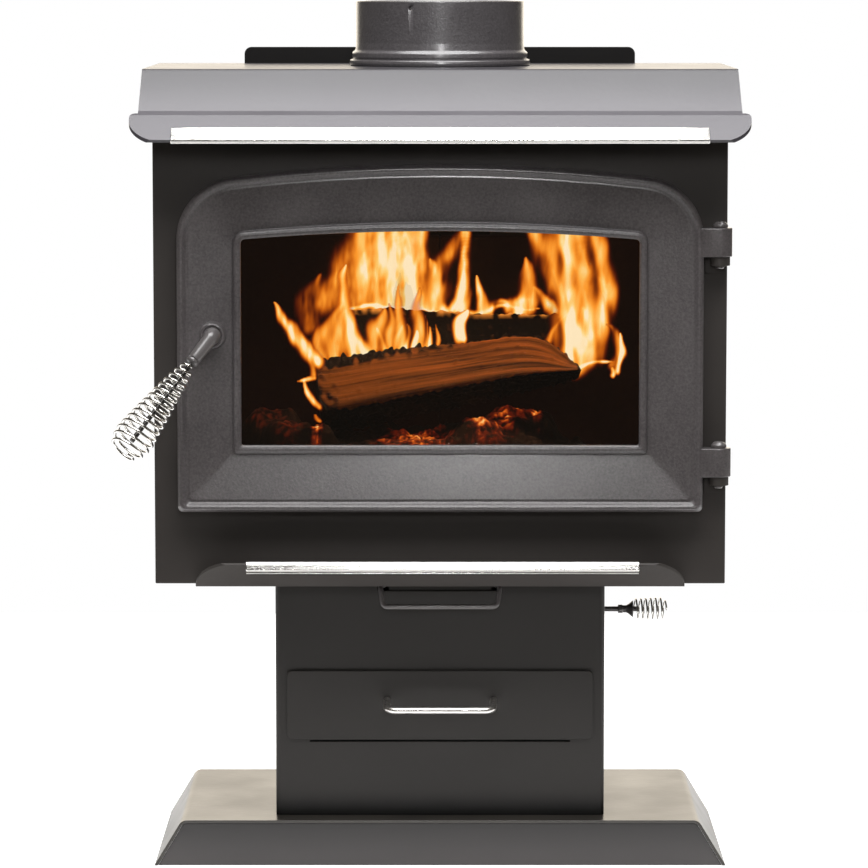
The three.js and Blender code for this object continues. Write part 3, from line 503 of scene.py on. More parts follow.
plainNodes = {
    "firebox_floor": innerSteel, "firebox_top": innerSteel, "air_channel_left": innerSteel,
    "air_channel_right": innerSteel, "air_riser": innerSteel, "air_tube_front": innerSteel,
    "air_tube_rear": innerSteel, "air_wash_deflector": innerSteel, "baffle_board": sootyBrick,
    "latch_catch": innerSteel, "latch_cam": plainSteel, "latch_nut": nickelStrip,
    "drawer_runner_left": plainSteel, "drawer_runner_right": plainSteel, "ash_drawer_tray": plainSteel,
    "ash_gate_plate": plainSteel, "gate_rail_left": plainSteel, "gate_rail_right": plainSteel,
    "glass_retainer_lower": blackPaint, "glass_retainer_upper": blackPaint, "glass_gasket": rope,
    "door_gasket": rope, "air_damper_plate": blackPaint,
}


def dress(node, material):  # a node that keeps its own shape and only changes its material
    nodes[node].data.materials.clear()
    nodes[node].data.materials.append(material)


for node, material in plainNodes.items():
    dress(node, material)
print("sheet pieces ready")


# ---- door casting

doorSettings = {"halfWidth": 247.0, "bottom": 345.4, "crown": 672.2, "archRadius": 1560.0,
                "cornerRadius": 59.0, "lowRadius": 5.0}
windowSettings = {"halfWidth": 187.0, "bottom": 408.1, "crown": 609.8, "archRadius": 2190.0,
                  "cornerRadius": 4.0, "lowRadius": 2.0}
frameWidth = 61.0


def archedOutline(chosen, steps=(40, 8, 40, 20, 60)):
    # bottom edge, low corner, side, top corner and arch, then the same mirrored
    low, side = chosen["lowRadius"], chosen["halfWidth"]
    cornerX = side - chosen["cornerRadius"]
    cornerReach = chosen["archRadius"] - chosen["cornerRadius"]
    lean = math.asin(cornerX / cornerReach)
    cornerZ = chosen["crown"] - chosen["archRadius"] + cornerReach * math.cos(lean)
    bottom = np.stack([np.linspace(0, side - low, steps[0], endpoint=False),
                       np.full(steps[0], chosen["bottom"])], 1)
    a = np.linspace(-math.pi / 2, 0, steps[1], endpoint=False)[:, None]
    lowCorner = [side - low, chosen["bottom"] + low] + low * np.concatenate([np.cos(a), np.sin(a)], 1)
    up = np.stack([np.full(steps[2], side), np.linspace(chosen["bottom"] + low, cornerZ, steps[2],
                                                        endpoint=False)], 1)
    a = np.linspace(0, math.pi / 2 - lean, steps[3], endpoint=False)[:, None]
    topCorner = [cornerX, cornerZ] + chosen["cornerRadius"] * np.concatenate([np.cos(a), np.sin(a)], 1)
    a = np.linspace(lean, 0, steps[4])[:, None]
    arch = np.array([0, chosen["crown"] - chosen["archRadius"]]) + chosen["archRadius"] * np.concatenate(
        [np.sin(a), np.cos(a)], 1)
    right = np.concatenate([bottom, lowCorner, up, topCorner, arch])
    left = right[1:-1][::-1] * [-1, 1]
    return np.concatenate([right, left])


doorEdge, windowEdge = archedOutline(doorSettings), archedOutline(windowSettings)


def doorRing(section):
    # a section of (inset, y) carried round the window; inset blends the two outlines
    share = section[:, 0] / frameWidth
    flat = doorEdge[None] + (windowEdge - doorEdge)[None] * share[:, None, None]
    y = np.broadcast_to(section[:, 1][:, None], flat.shape[:2])
    points = np.stack([flat[..., 0], y, flat[..., 1]], -1)
    return points.reshape(-1, 3), gridFaces(len(section), len(doorEdge), closeRows=True)


doorSection = roundedLoop([
    (0, -3, 0.4), (0, -19.5, 3), (4, -25.6, 4.6), (9, -19.6, 3.2), (11.5, -20, 1.5), (51.6, -13.2, 1.5),
    (53, -12.4, 0.8), (54.2, -16, 1.6), (57.4, -17.3, 2.4), (61, -15.6, 1.8), (61, -11.5, 0.4),
    (47, -11.5, 0.4), (47, -3, 0.4), (19, -3, 0.4), (19, -9, 0.6), (7, -9, 0.6), (7, -3, 0.4),
], 7)
hingeSettings = {
    "x": 262.4, "y": -12.0, "radius": 11.3, "bore": 4.3, "height": 26.8, "undersides": (378.6, 586.0),
    "rootX": 243.0, "webBack": 4.5, "webFront": 0.6,  # the web from the eye into the door's edge
}
latchSettings = {"x": -213.5, "z": 512.5, "bore": 5.4}


def toolPiece(points, faces):  # a bare object used once to join or cut
    thing = makePiece("tool", points, faces, castDoor, "door")
    del thing["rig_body"]
    return thing


def roundedPrism(outline, z0, z1, edge):
    # an upright bar of one outline, its top and bottom edges rounded off
    middle = outline.mean(0)
    turn = np.linspace(0, math.pi / 2, 5)
    inward = np.concatenate([[1e6], edge * (1 - np.sin(turn)), edge * (1 - np.cos(turn)), [1e6]])
    height = np.concatenate([[z0], z0 + edge * (1 - np.cos(turn)), z1 - edge * (1 - np.sin(turn)), [z1]])
    size = np.linalg.norm(outline - middle, axis=1).max()
    share = np.clip(1 - inward / size, 0, 1)
    flat = middle + (outline - middle)[None] * share[:, None, None]
    points = np.concatenate([flat, np.broadcast_to(height[:, None, None], flat.shape[:2] + (1,))], 2)
    return points.reshape(-1, 3), gridFaces(len(height), len(outline))


door = makePiece("castDoorFrame", *doorRing(doorSection), castDoor, "door", "cast_iron", ("door_frame",),
                 50.0)
for z in hingeSettings["undersides"]:
    x, y, r = hingeSettings["x"], hingeSettings["y"], hingeSettings["radius"]
    angle = np.linspace(-math.pi / 2, math.pi / 2, 25)
    eye = np.stack([x + r * np.cos(angle), y + r * np.sin(angle)], 1)
    back, front = y + r - hingeSettings["webBack"], y - r + hingeSettings["webFront"]
    web = [[x - 2, y + r - 1], [x - 6, back], [hingeSettings["rootX"], back],
           [hingeSettings["rootX"], front], [x - 4, front]]
    outline = np.concatenate([eye, web])
    applyBoolean(door, toolPiece(*roundedPrism(outline, z, z + hingeSettings["height"], 1.2)), "UNION")
bossProfile = roundedLoop([
    (0, -12, 0), (13.2, -12, 0), (12.4, -19.5, 2), (11.6, -24, 1.5), (11.4, -26.8, 1.6),
    (8.4, -26.8, 1.6), (7.6, -22.5, 1.5), (0, -22, 0)], 7, closed=False)
boss = lathe(bossProfile * [1, -1], (latchSettings["x"], 0, latchSettings["z"]), (0, -1, 0), 72)
applyBoolean(door, toolPiece(*boss), "UNION")
for centre, axis, r, reach in (
    ((latchSettings["x"], 0, latchSettings["z"]), (0, 1, 0), latchSettings["bore"], (-40, 10)),
    ((hingeSettings["x"], hingeSettings["y"], 0), (0, 0, 1), hingeSettings["bore"], (300, 700)),
):
    bore = lathe([(0, reach[0]), (r, reach[0]), (r, reach[1]), (0, reach[1])], centre, axis, 32)
    applyBoolean(door, toolPiece(*bore), "DIFFERENCE")
finishPiece(door, castDoor, "door", smoothAngle=50.0)

glassMaterial, glassTree, glassShader = newMaterial(
    "ceramicGlass", Base_Color=linear("#f1dac4"), Roughness=0.02, IOR=1.5, Transmission_Weight=1.0,
    Specular_IOR_Level=0.2)
glassMist = noise(glassTree, objectPlace(glassTree), 90, 2.0)
glassTree.links.new(remap(glassTree, glassMist, 0.4, 0.8, 0.0, 0.03), glassShader.inputs["Roughness"])
dress("door_glass", glassMaterial)
print("door ready")


# ---- flue collar, trims and turned parts

collarSettings = {"y": 190.0, "bore": 76.2, "outer": 82.2, "spigot": 79.0, "foot": 727.7, "top": 760.3,
                  "rim": 823.0, "lowBead": 88.5, "highBead": 86.0, "screwAngles": (-20, 100, 220),
                  "screwHole": 2.2}
c = collarSettings
collarProfile = roundedLoop([
    (c["bore"], c["foot"], 0.4), (c["spigot"], c["foot"], 0.4), (c["spigot"], c["top"], 0.2),
    (c["lowBead"] - 1, c["top"], 0.8), (c["lowBead"], c["top"] + 2.5, 2),
    (c["lowBead"] - 0.4, c["top"] + 5.4, 1.6), (c["highBead"] - 1.6, c["top"] + 6.4, 1.2),
    (c["highBead"], c["top"] + 8.2, 1.6), (c["highBead"] - 0.2, c["top"] + 12.4, 2.2),
    (c["outer"] + 0.6, c["top"] + 15, 2.5), (c["outer"], c["top"] + 22, 6),
    (c["outer"], c["rim"], 1.0), (c["bore"], c["rim"], 1.0),
], 7)
collar = makePiece("castFlueCollar", *lathe(collarProfile, (0, c["y"], 0), (0, 0, 1), 192, closed=True),
                   castCollar, "stove", "cast_iron", ("flue_collar",), 50.0)
for degrees in c["screwAngles"]:
    turn = math.radians(degrees)
    outward = (math.sin(turn), -math.cos(turn), 0)
    hole = lathe([(0, 70), (c["screwHole"], 70), (c["screwHole"], 81.4), (c["screwHole"] + 0.9, 82.4),
                  (c["screwHole"] + 0.9, 95), (0, 95)], (0, c["y"], c["rim"] - 6.5), outward, 24)
    applyBoolean(collar, toolPiece(*hole), "DIFFERENCE")
finishPiece(collar, castCollar, "stove", smoothAngle=50.0)


def acrossBar(section, halfWidth, edge=0.4):
    # a (y, z) section carried from one side to the other, its ends closed and just broken
    middle = section.mean(0)
    rows = [(-halfWidth, 0.0), (-halfWidth, 1 - edge / 6), (-halfWidth + edge, 1.0),
            (halfWidth - edge, 1.0), (halfWidth, 1 - edge / 6), (halfWidth, 0.0)]
    flat = np.stack([section if s == 1 else middle + (section - middle) * s for x, s in rows])
    x = np.broadcast_to(np.array([row[0] for row in rows])[:, None, None], flat.shape[:2] + (1,))
    return np.concatenate([x, flat], 2).reshape(-1, 3), gridFaces(len(rows), len(section))


def trimSection(edge, along, outward, sheet, leg, face):
    # a folded strip round a sheet's free edge; the face is its outer leg's own outline
    wall, clear = 1.0, 0.3
    under = -sheet - clear
    corners = [
        (leg, clear, 0.2), *[(back, clear + wall + lift, radius) for back, lift, radius in face],
        (-clear - wall, clear, 1.0), (-clear - wall, under, 1.0), (-clear, under - wall, 0.8),
        (8, under - wall, 0.4), (8, under, 0.3), (-clear, under, 0.2), (-clear, clear, 0.2),
    ]
    flat = roundedLoop(corners, 6)
    return np.asarray(edge) - np.asarray(along) * flat[:, :1] + np.asarray(outward) * flat[:, 1:]


def unit(vector):
    return np.asarray(vector, float) / np.linalg.norm(vector)


# The cooktop: one 3 mm sheet with its flat, its slope, a small joggle and the wider lip; the
# section runs across the stove and is cut to the plan, which widens at the lip.
topBox = shopBox("cooktop")
topSettings = {"slopeTop": (36, 760), "lipFoot": (-25, 720), "lipEdge": (-62, 697), "sheet": 3.0,
               "halfWidth": 281.5, "lipHalf": topBox[1][0], "lipStart": -25.0, "ear": 6.0, "corner": 37.0,
               "cornerDepth": 31.4, "lipFront": -65, "flueHole": 79.5, "trimLeg": 17, "trimHalf": 249}
t = topSettings
topLine = [(topBox[1][1], t["slopeTop"][1], 0), (*t["slopeTop"], 7), (-21, 722.2, 6), (-28, 718.7, 6),
           (*t["lipEdge"], 0)]
outer = roundedLoop(topLine, 12, closed=False)
along = np.gradient(outer, axis=0)
along /= np.linalg.norm(along, axis=1)[:, None]
inner = outer + np.stack([-along[:, 1], along[:, 0]], 1) * t["sheet"]
topSection = np.concatenate([outer, inner[::-1]])
angle = np.linspace(math.pi / 2, 0, 9)[:, None]
earCentre = [t["lipHalf"] - t["ear"], t["lipStart"] - t["ear"]]
ear = earCentre + t["ear"] * np.concatenate([np.cos(angle), np.sin(angle)], 1)
angle = np.linspace(0, -math.pi / 2, 33)[:, None]
sweepCorner = np.array([t["lipHalf"] - t["corner"], t["lipFront"] + t["cornerDepth"]]) + np.concatenate(
    [t["corner"] * np.cos(angle), t["cornerDepth"] * np.sin(angle)], 1)
rightPlan = np.concatenate([[[t["halfWidth"], 400], [t["halfWidth"], t["lipStart"]]], ear, sweepCorner])
topPlan = np.concatenate([rightPlan, rightPlan[::-1] * [-1, 1]])
count = len(topPlan)
planPoints = np.concatenate([np.column_stack([topPlan, np.full(count, z)]) for z in (600.0, 850.0)])
planFaces = [[i, (i + 1) % count, (i + 1) % count + count, i + count] for i in range(count)]
planFaces += [list(range(count)), list(range(2 * count - 1, count - 1, -1))]
cooktop = makePiece("cooktopSheet", *acrossBar(topSection, 320), topPaint, "stove", "grey_stove_paint",
                    ("cooktop",), 30.0)
applyBoolean(cooktop, toolPiece(planPoints, planFaces), "INTERSECT")
hole = lathe([(0, 700), (t["flueHole"], 700), (t["flueHole"], 800), (0, 800)], (0, c["y"], 0), (0, 0, 1),
             96)
applyBoolean(cooktop, toolPiece(*hole), "DIFFERENCE")
finishPiece(cooktop, topPaint, "stove", smoothAngle=30.0)
topAlong = unit(np.subtract(t["lipEdge"], t["lipFoot"]))
topOut = np.array([topAlong[1], -topAlong[0]])
topTrim = trimSection(t["lipEdge"], topAlong, topOut, t["sheet"], t["trimLeg"],
                      [(t["trimLeg"], 1.2, 0.5), (0.2, 0.1, 1.1)])
makePiece("cooktopEdgeTrim", *acrossBar(topTrim, t["trimHalf"]), nickelStrip, "stove", "bright_nickel",
          ("cooktop_trim",), 35.0)
ashSettings = {"foot": (-2, 271.9), "edge": (-35, 297), "sheet": 2.3, "trimLeg": 15, "trimHalf": 184.7,
               "trimAside": 2.3}
ashAlong = unit(np.subtract(ashSettings["edge"], ashSettings["foot"]))
ashOut = np.array([-ashAlong[1], ashAlong[0]])
ashTrim = trimSection(ashSettings["edge"], ashAlong, ashOut, ashSettings["sheet"], ashSettings["trimLeg"], [
    (ashSettings["trimLeg"], 0.2, 0.3), (8.6, 3.1, 0.5), (8.0, 1.0, 0.4), (1.4, 4.1, 0.8), (0.2, 3.2, 0.8),
])
ashTrimPoints, ashTrimFaces = acrossBar(ashTrim, ashSettings["trimHalf"])
makePiece("ashLipEdgeTrim", ashTrimPoints + [ashSettings["trimAside"], 0, 0], ashTrimFaces, nickelStrip,
          "stove", "bright_nickel", ("ash_lip_trim",), 35.0)

for place, z in zip(("lower", "upper"), hingeSettings["undersides"]):
    head = z + hingeSettings["height"] + 0.3
    pin = roundedLoop([(0, z - 11.5, 0), (3.2, z - 11.5, 0.5), (4, z - 10.4, 0.4), (4, head, 0.1),
                       (7.3, head, 0.5), (7.3, head + 2.6, 2.0), (4.6, head + 5.4, 2.6),
                       (0, head + 6.2, 0)], 6, closed=False)
    makePiece(place + "HingePin", *lathe(pin, (hingeSettings["x"], hingeSettings["y"], 0), (0, 0, 1), 40),
              castArm, "stove", "black_stove_paint", ("hinge_pin_" + place,))

# pan-head screws that hold the rear shield to its spacers
screwSettings = {"across": 150.0, "heights": (340.0, 700.0), "head": 5.5, "rise": 2.6}
w = screwSettings
shieldBack = shopBox("rear_heat_shield")[1][1]
screwHead = roundedLoop([(0, -0.6, 0), (w["head"], -0.6, 0.2), (w["head"], 0.8, 0.8),
                         (w["head"] * 0.6, w["rise"], 2), (0, w["rise"] + 0.3, 0)], 6, closed=False)
screwPlaces = [(side * w["across"], z) for side in (-1, 1) for z in w["heights"]]
for number, (x, z) in enumerate(screwPlaces):
    makePiece("shieldScrew." + str(number + 1), *lathe(screwHead, (x, shieldBack, z), (0, 1, 0), 32),
              nickelBar, "stove", "bright_nickel")

# ---- door handle: cast neck, dark rod and a pear-shaped wire grip

gripSettings = {"bend": (-213.5, -36.0, 512.5), "tip": (-293.0, -95.0, 410.0), "start": 0.262, "wire": 1.35,
                "turns": 15, "wideAt": 0.8, "stepsPerTurn": 30, "rod": 2.3}
gripBend, gripTip = [np.array(gripSettings[key]) for key in ("bend", "tip")]


def alongGrip(share):
    return gripBend + (gripTip - gripBend) * np.asarray(share, float)[..., None]


neck = roundedPath([(latchSettings["x"], -27.5, latchSettings["z"]), gripBend, alongGrip(0.2)], 8, 14)
shaft = np.array([(latchSettings["x"], y, latchSettings["z"])
                  for y in (23.5, 0, -21.2, -22.9, -23.6, -25.5)])
neckEnd = alongGrip([0.12, 0.155, 0.185, 0.196, 0.2, 0.204, 0.207, 0.214, 0.225, 0.232, 0.236])
neckPath = np.concatenate([shaft, neck[:-1], neckEnd])
swell = np.interp(np.linspace(0, 1, len(neck) - 1), [0, 0.4, 1], [8.4, 7.7, 6.7])
neckRadii = np.concatenate([[5.0, 5.0, 5.0, 7.0, 7.8, 8.0], swell,
                            [6.5, 6.3, 6.2, 6.0, 5.0, 5.0, 6.0, 6.3, 6.0, 4.8, 2.6]])
makePiece("castHandleNeck", *sweep(neckPath, neckRadii, 28, (1.0, 0.2, -0.9)), castArm, "handle",
          "cast_iron", ("door_handle_arm",))
rod = alongGrip(np.linspace(0.2, 0.9, 40))
makePiece("gripRod", *sweep(rod, gripSettings["rod"], 16, (0, 1.0, 0.3)), rodSteel, "handle",
          "black_stove_paint")


def coil(start, end, turns, radiusAt, wire, steps, sides=10):
    # a wire wound round the axis from start to end, its radius a function of the share
    start, end = np.asarray(start, float), np.asarray(end, float)
    axis = (end - start) / np.linalg.norm(end - start)
    across = np.cross([0, 0, 1.0], axis)
    across /= np.linalg.norm(across)
    up = np.cross(axis, across)
    share = np.linspace(0, 1, int(turns * steps) + 1)
    angle = 2 * math.pi * turns * share
    spoke = across * np.cos(angle)[:, None] + up * np.sin(angle)[:, None]
    path = start + (end - start) * share[:, None] + radiusAt(share)[:, None] * spoke
    return sweep(path, np.full(len(path), wire), sides, axis)


def gripRadius(share):
    wide = gripSettings["wideAt"]
    swelling = 5.5 + 12.6 * (np.minimum(share, wide) / wide) ** 0.75
    closing = 7.5 + 10.6 * np.sqrt(np.clip(1 - ((share - wide) / (1 - wide)) ** 2, 0, 1))
    return np.where(share < wide, swelling, closing)


gripCoil = coil(alongGrip(gripSettings["start"]), gripTip, gripSettings["turns"], gripRadius,
                gripSettings["wire"], gripSettings["stepsPerTurn"])
makePiece("coiledDoorGrip", *gripCoil, nickelWire, "handle", "bright_nickel", ("door_handle_grip",))

# ---- ash drawer handle, ash gate pull and air control

drawerPull = roundedPath([(-51, 32.1, 157), (-51, -3, 153), (51, -3, 153), (51, 32.1, 157)], 9, 12)
makePiece("drawerPull", *sweep(drawerPull, 3.3, 24, (0, 0.1, 1.0)), nickelBar, "drawer", "bright_nickel",
          ("ash_drawer_handle",))
gatePull = roundedPath([(-52, 49.1, 267.5), (-57, 24, 267.5), (-54, 15, 250), (54, 15, 250),
                        (57, 24, 267.5), (52, 49.1, 267.5)], 5, 10)
makePiece("gatePull", *sweep(gatePull, 2.5, 16, (0.0, 0.75, 1.0)), castArm, "gate", "black_stove_paint",
          ("ash_gate_pull",))
tabSettings = {"half": 49, "bottom": 255, "top": 271, "faces": (37.2, 38.2)}  # hides the gate's notch
w = tabSettings
tab = roundedLoop([(-w["half"], w["bottom"], 2), (w["half"], w["bottom"], 2), (w["half"], w["top"], 1),
                   (-w["half"], w["top"], 1)], 5)
tabPoints = np.concatenate([np.stack([tab[:, 0], np.full(len(tab), y), tab[:, 1]], 1) for y in w["faces"]])
tabFaces = gridFaces(2, len(tab)).tolist() + [list(range(len(tab))),
                                              list(range(2 * len(tab) - 1, len(tab) - 1, -1))]
makePiece("gateTab", tabPoints, tabFaces, pedestalPaint, "gate", "black_stove_paint")
airSettings = {"y": 185.0, "z": 222.0, "rod": 2.5, "knobStart": 192.0, "knobLength": 33.0, "turns": 6.5,
               "wire": 0.9, "stepsPerTurn": 36, "rodStart": -35.7}
a = airSettings
airRod = np.stack([np.linspace(a["rodStart"], a["knobStart"] + 4, 12), np.full(12, a["y"]),
                   np.full(12, a["z"])], 1)
makePiece("airControlRod", *sweep(airRod, a["rod"], 20, (0, 0, 1.0)), castArm, "air_control",
          "black_stove_paint", ("air_control_rod",))
ferrule = roundedLoop([(2.8, 0, 0.2), (4.2, 0, 0.4), (4.2, 4, 0.5), (3.6, 5, 0.5), (3.6, 8, 1),
                       (5, 10.5, 2), (8.2, 14, 0.6), (8.2, 15, 0.3), (4.5, 13, 1), (2.8, 11, 0.4)], 5)
ferruleShape = lathe(ferrule, (a["knobStart"] - 15, a["y"], a["z"]), (1, 0, 0), 40, closed=True)
makePiece("airControlFerrule", *ferruleShape, castArm, "air_control", "black_stove_paint",
          ("air_control_ferrule",))


def knobRadius(share):
    swelling = 9.6 + 1.2 * np.minimum(share, 0.75) / 0.75
    closing = 4 + 6.8 * np.sqrt(np.clip(1 - ((share - 0.75) / 0.25) ** 2, 0, 1))
    return np.where(share < 0.75, swelling, closing)


knobCoil = coil((a["knobStart"] + 1.5, a["y"], a["z"]), (a["knobStart"] + a["knobLength"], a["y"], a["z"]),
                a["turns"], knobRadius, a["wire"], a["stepsPerTurn"])
makePiece("coiledAirKnob", *knobCoil, nickelWire, "air_control", "bright_nickel", ("air_control_knob",))
print("collar, trims and handles ready")


# ---- the fire: two logs, an ember bed and three sheets of flame, in shares of the window

windowLow = np.array([-windowSettings["halfWidth"], windowSettings["bottom"]])
windowSpan = np.array([2 * windowSettings["halfWidth"], windowSettings["crown"] - windowSettings["bottom"]])
glassFace = -9.0


def throughWindow(across, up, depth):
    # the point at that depth on the sight line through a place in the window, given in percent
    across, up, depth = np.broadcast_arrays(*[np.asarray(v, float) for v in (across, up, depth)])
    x = windowLow[0] + windowSpan[0] * across / 100
    z = windowLow[1] + windowSpan[1] * up / 100
    reach = (depth - cameraShop[1]) / (glassFace - cameraShop[1])
    return np.stack([cameraShop[0] + (x - cameraShop[0]) * reach, depth,
                     cameraShop[2] + (z - cameraShop[2]) * reach], -1)


flameSettings = {
    "step": 1.25, "threshold": 0.03, "thickness": 5.0, "overrun": 1.5,
    # each tongue: its root, middle and tip in percent of the window, its half width and heat
    "behind": {"depth": 214.0, "seed": 3, "strength": 1.28, "tongues": [
        (35.2, 61.8, 33.2, 79.9, 29.8, 100.0, 3.0, 0.62), (37.9, 61.8, 37.9, 77.4, 35.2, 100.0, 2.8, 0.62),
        (41.2, 61.8, 40.6, 77.4, 38.5, 100.0, 2.6, 0.75), (44.6, 61.8, 43.9, 77.4, 44.9, 100.0, 2.7, 0.78),
        (47.6, 62.4, 49.0, 73.7, 47.8, 86.2, 2.7, 0.72), (50.7, 64.3, 54.4, 67.4, 56.2, 90.0, 1.5, 0.78),
        (55.9, 62.4, 55.7, 76.2, 56.9, 98.7, 1.5, 0.95), (49.3, 81.2, 52.7, 91.2, 55.7, 99.4, 1.5, 0.36),
        (17.7, 56.1, 16.4, 67.4, 19.3, 80.6, 2.7, 0.3), (19.7, 66.2, 22.4, 73.7, 24.7, 80.6, 3.2, 0.36),
        (23.4, 68.7, 27.1, 85.0, 30.1, 98.7, 3.5, 0.4), (29.1, 63.7, 29.1, 76.2, 31.1, 90.0, 3.1, 0.55),
        (60.8, 63.7, 60.4, 71.2, 59.8, 79.3, 1.3, 0.85), (62.3, 63.5, 64.5, 66.0, 67.9, 64.4, 1.3, 0.6),
        (33.0, 80.0, 34.5, 92.0, 33.0, 101.0, 3.6, 0.5), (42.0, 84.0, 41.5, 94.0, 41.5, 102.0, 4.0, 0.62),
        (70.6, 63.0, 72.1, 73.7, 71.5, 87.5, 2.3, 0.74), (78.3, 61.8, 75.6, 68.7, 73.0, 73.4, 1.6, 0.66),
        (56.7, 62.9, 63.5, 63.7, 75.6, 63.7, 0.7, 0.85), (27.1, 63.7, 37.9, 64.7, 50.7, 63.2, 0.5, 1.0),
        (67.5, 63.7, 69.9, 67.4, 71.6, 68.7, 1.8, 0.66),
    ]},
    "between": {"depth": 164.0, "seed": 5, "strength": 1.12, "tongues": [
        (31.5, 42.4, 26.5, 61.2, 26.1, 84.3, 2.0, 1.05), (29.1, 42.4, 27.1, 52.4, 26.1, 63.7, 2.3, 0.8),
        (20.7, 40.5, 21.8, 53.6, 25.4, 66.2, 2.0, 0.62), (24.4, 41.7, 24.4, 52.4, 25.7, 63.7, 2.3, 0.7),
        (34.2, 46.1, 34.6, 56.1, 35.3, 63.7, 2.0, 0.66), (37.2, 43.6, 37.9, 54.9, 36.9, 67.4, 1.8, 0.6),
        (40.6, 44.9, 40.0, 57.4, 39.8, 74.9, 1.6, 0.66), (44.6, 46.1, 43.9, 57.4, 44.3, 72.4, 1.8, 0.6),
        (36.2, 42.4, 35.2, 48.6, 34.2, 54.3, 0.8, 0.75), (38.7, 43.4, 39.6, 49.2, 40.6, 56.8, 0.7, 0.75),
        (41.6, 44.6, 41.9, 51.1, 41.6, 57.4, 0.6, 0.75), (46.1, 45.9, 46.4, 52.4, 45.6, 61.2, 0.6, 0.5),
        (48.8, 45.6, 49.1, 51.1, 48.5, 58.0, 0.7, 0.5), (43.3, 44.9, 43.4, 49.2, 43.4, 54.3, 0.7, 1.6),
        (47.1, 45.6, 47.2, 50.4, 47.1, 55.4, 0.6, 1.5), (55.3, 48.6, 55.2, 55.1, 55.6, 63.4, 1.2, 1.7),
        (81.7, 61.8, 78.6, 81.2, 74.3, 98.7, 2.8, 0.62), (82.9, 46.1, 82.2, 73.7, 80.9, 97.5, 3.0, 0.72),
        (81.5, 104.0, 81.2, 88.0, 82.4, 68.0, 3.6, 0.8),
        (86.7, 44.9, 86.1, 72.4, 85.0, 97.5, 3.0, 0.66), (88.5, 52.4, 91.2, 81.2, 89.2, 95.6, 2.3, 0.78),
        (84.5, 36.7, 85.0, 51.1, 85.8, 63.7, 2.6, 0.78), (83.0, 40.5, 82.7, 49.9, 82.5, 61.2, 1.0, 1.0),
        (77.0, 48.0, 79.1, 53.4, 81.8, 59.6, 0.9, 0.42), (88.1, 39.2, 89.9, 49.9, 90.6, 61.2, 2.6, 0.6),
        (84.4, 36.5, 89.8, 37.7, 94.5, 39.1, 0.5, 1.0),
    ]},
    "before": {"depth": 78.0, "seed": 8, "strength": 1.12, "tongues": [
        (19.3, 39.2, 13.6, 49.9, 9.4, 66.2, 1.8, 1.15), (18.0, 32.3, 17.7, 36.7, 17.0, 42.4, 0.9, 0.8),
        (18.3, 30.8, 15.3, 30.3, 12.9, 29.6, 0.5, 0.85), (20.0, 18.5, 17.0, 24.8, 15.5, 30.1, 0.9, 0.8),
        (19.3, 10.8, 19.1, 12.3, 18.9, 14.5, 0.6, 0.7), (95.1, 34.8, 95.7, 43.6, 96.0, 51.8, 0.9, 1.3),
        (93.5, 38.0, 94.8, 49.9, 91.8, 55.5, 1.6, 0.42), (93.5, 33.0, 93.7, 34.6, 93.1, 36.1, 0.7, 0.8),
    ]},
}


def flameHeat(flat, tongues, seed, strength):
    # heat at each place: every tongue is hottest along its curved spine near the root and
    # fades with the distance from it; seeded waves bend the spines and split them in streaks
    deep = np.concatenate([flat, np.zeros((len(flat), 1))], 1)
    aside = waves(deep * [1, 0.55, 1], 26, seed) * 1.5 + waves(deep * [1, 0.5, 1], 9, seed + 1) * 0.55
    drift = np.stack([aside, waves(deep, 30, seed + 2) * 1.2], 1)
    streaks = 1 + 0.17 * waves(deep * [1, 0.2, 1], 10, seed + 3)
    streaks += 0.06 * waves(deep * [1, 0.25, 1], 4, seed + 4)
    place = flat + drift
    total = np.zeros(len(flat))
    share = np.linspace(0, 1, 64)[:, None]
    for x0, y0, x1, y1, x2, y2, width, heat in tongues:
        root, middle, tip = [np.array(p) * windowSpan / 100 for p in ((x0, y0), (x1, y1), (x2, y2))]
        if y2 > 95:  # the tall tongues run on out of sight behind the door's top bar
            tip = tip + (tip - middle) * flameSettings["overrun"]
            width = width * 1.3
        bend = 2 * middle - (root + tip) / 2
        spine = (1 - share) ** 2 * root + 2 * share * (1 - share) * bend + share ** 2 * tip
        reach = width * windowSpan[0] / 100 * 2.6
        near = np.all((place > spine.min(0) - reach) & (place < spine.max(0) + reach), axis=1)
        gaps = np.linalg.norm(place[near][:, None] - spine[None], axis=2)
        taper = (0.35 + share[:, 0]) ** 0.35 * (1.02 - share[:, 0]) ** 0.6
        taper = taper * width * windowSpan[0] / 100 * 1.25
        glow = np.exp(-(gaps / taper) ** 2) * (1 - 0.3 * share[:, 0])
        total[near] += (heat * glow.max(1)) ** 2
    return np.sqrt(total) * streaks * strength


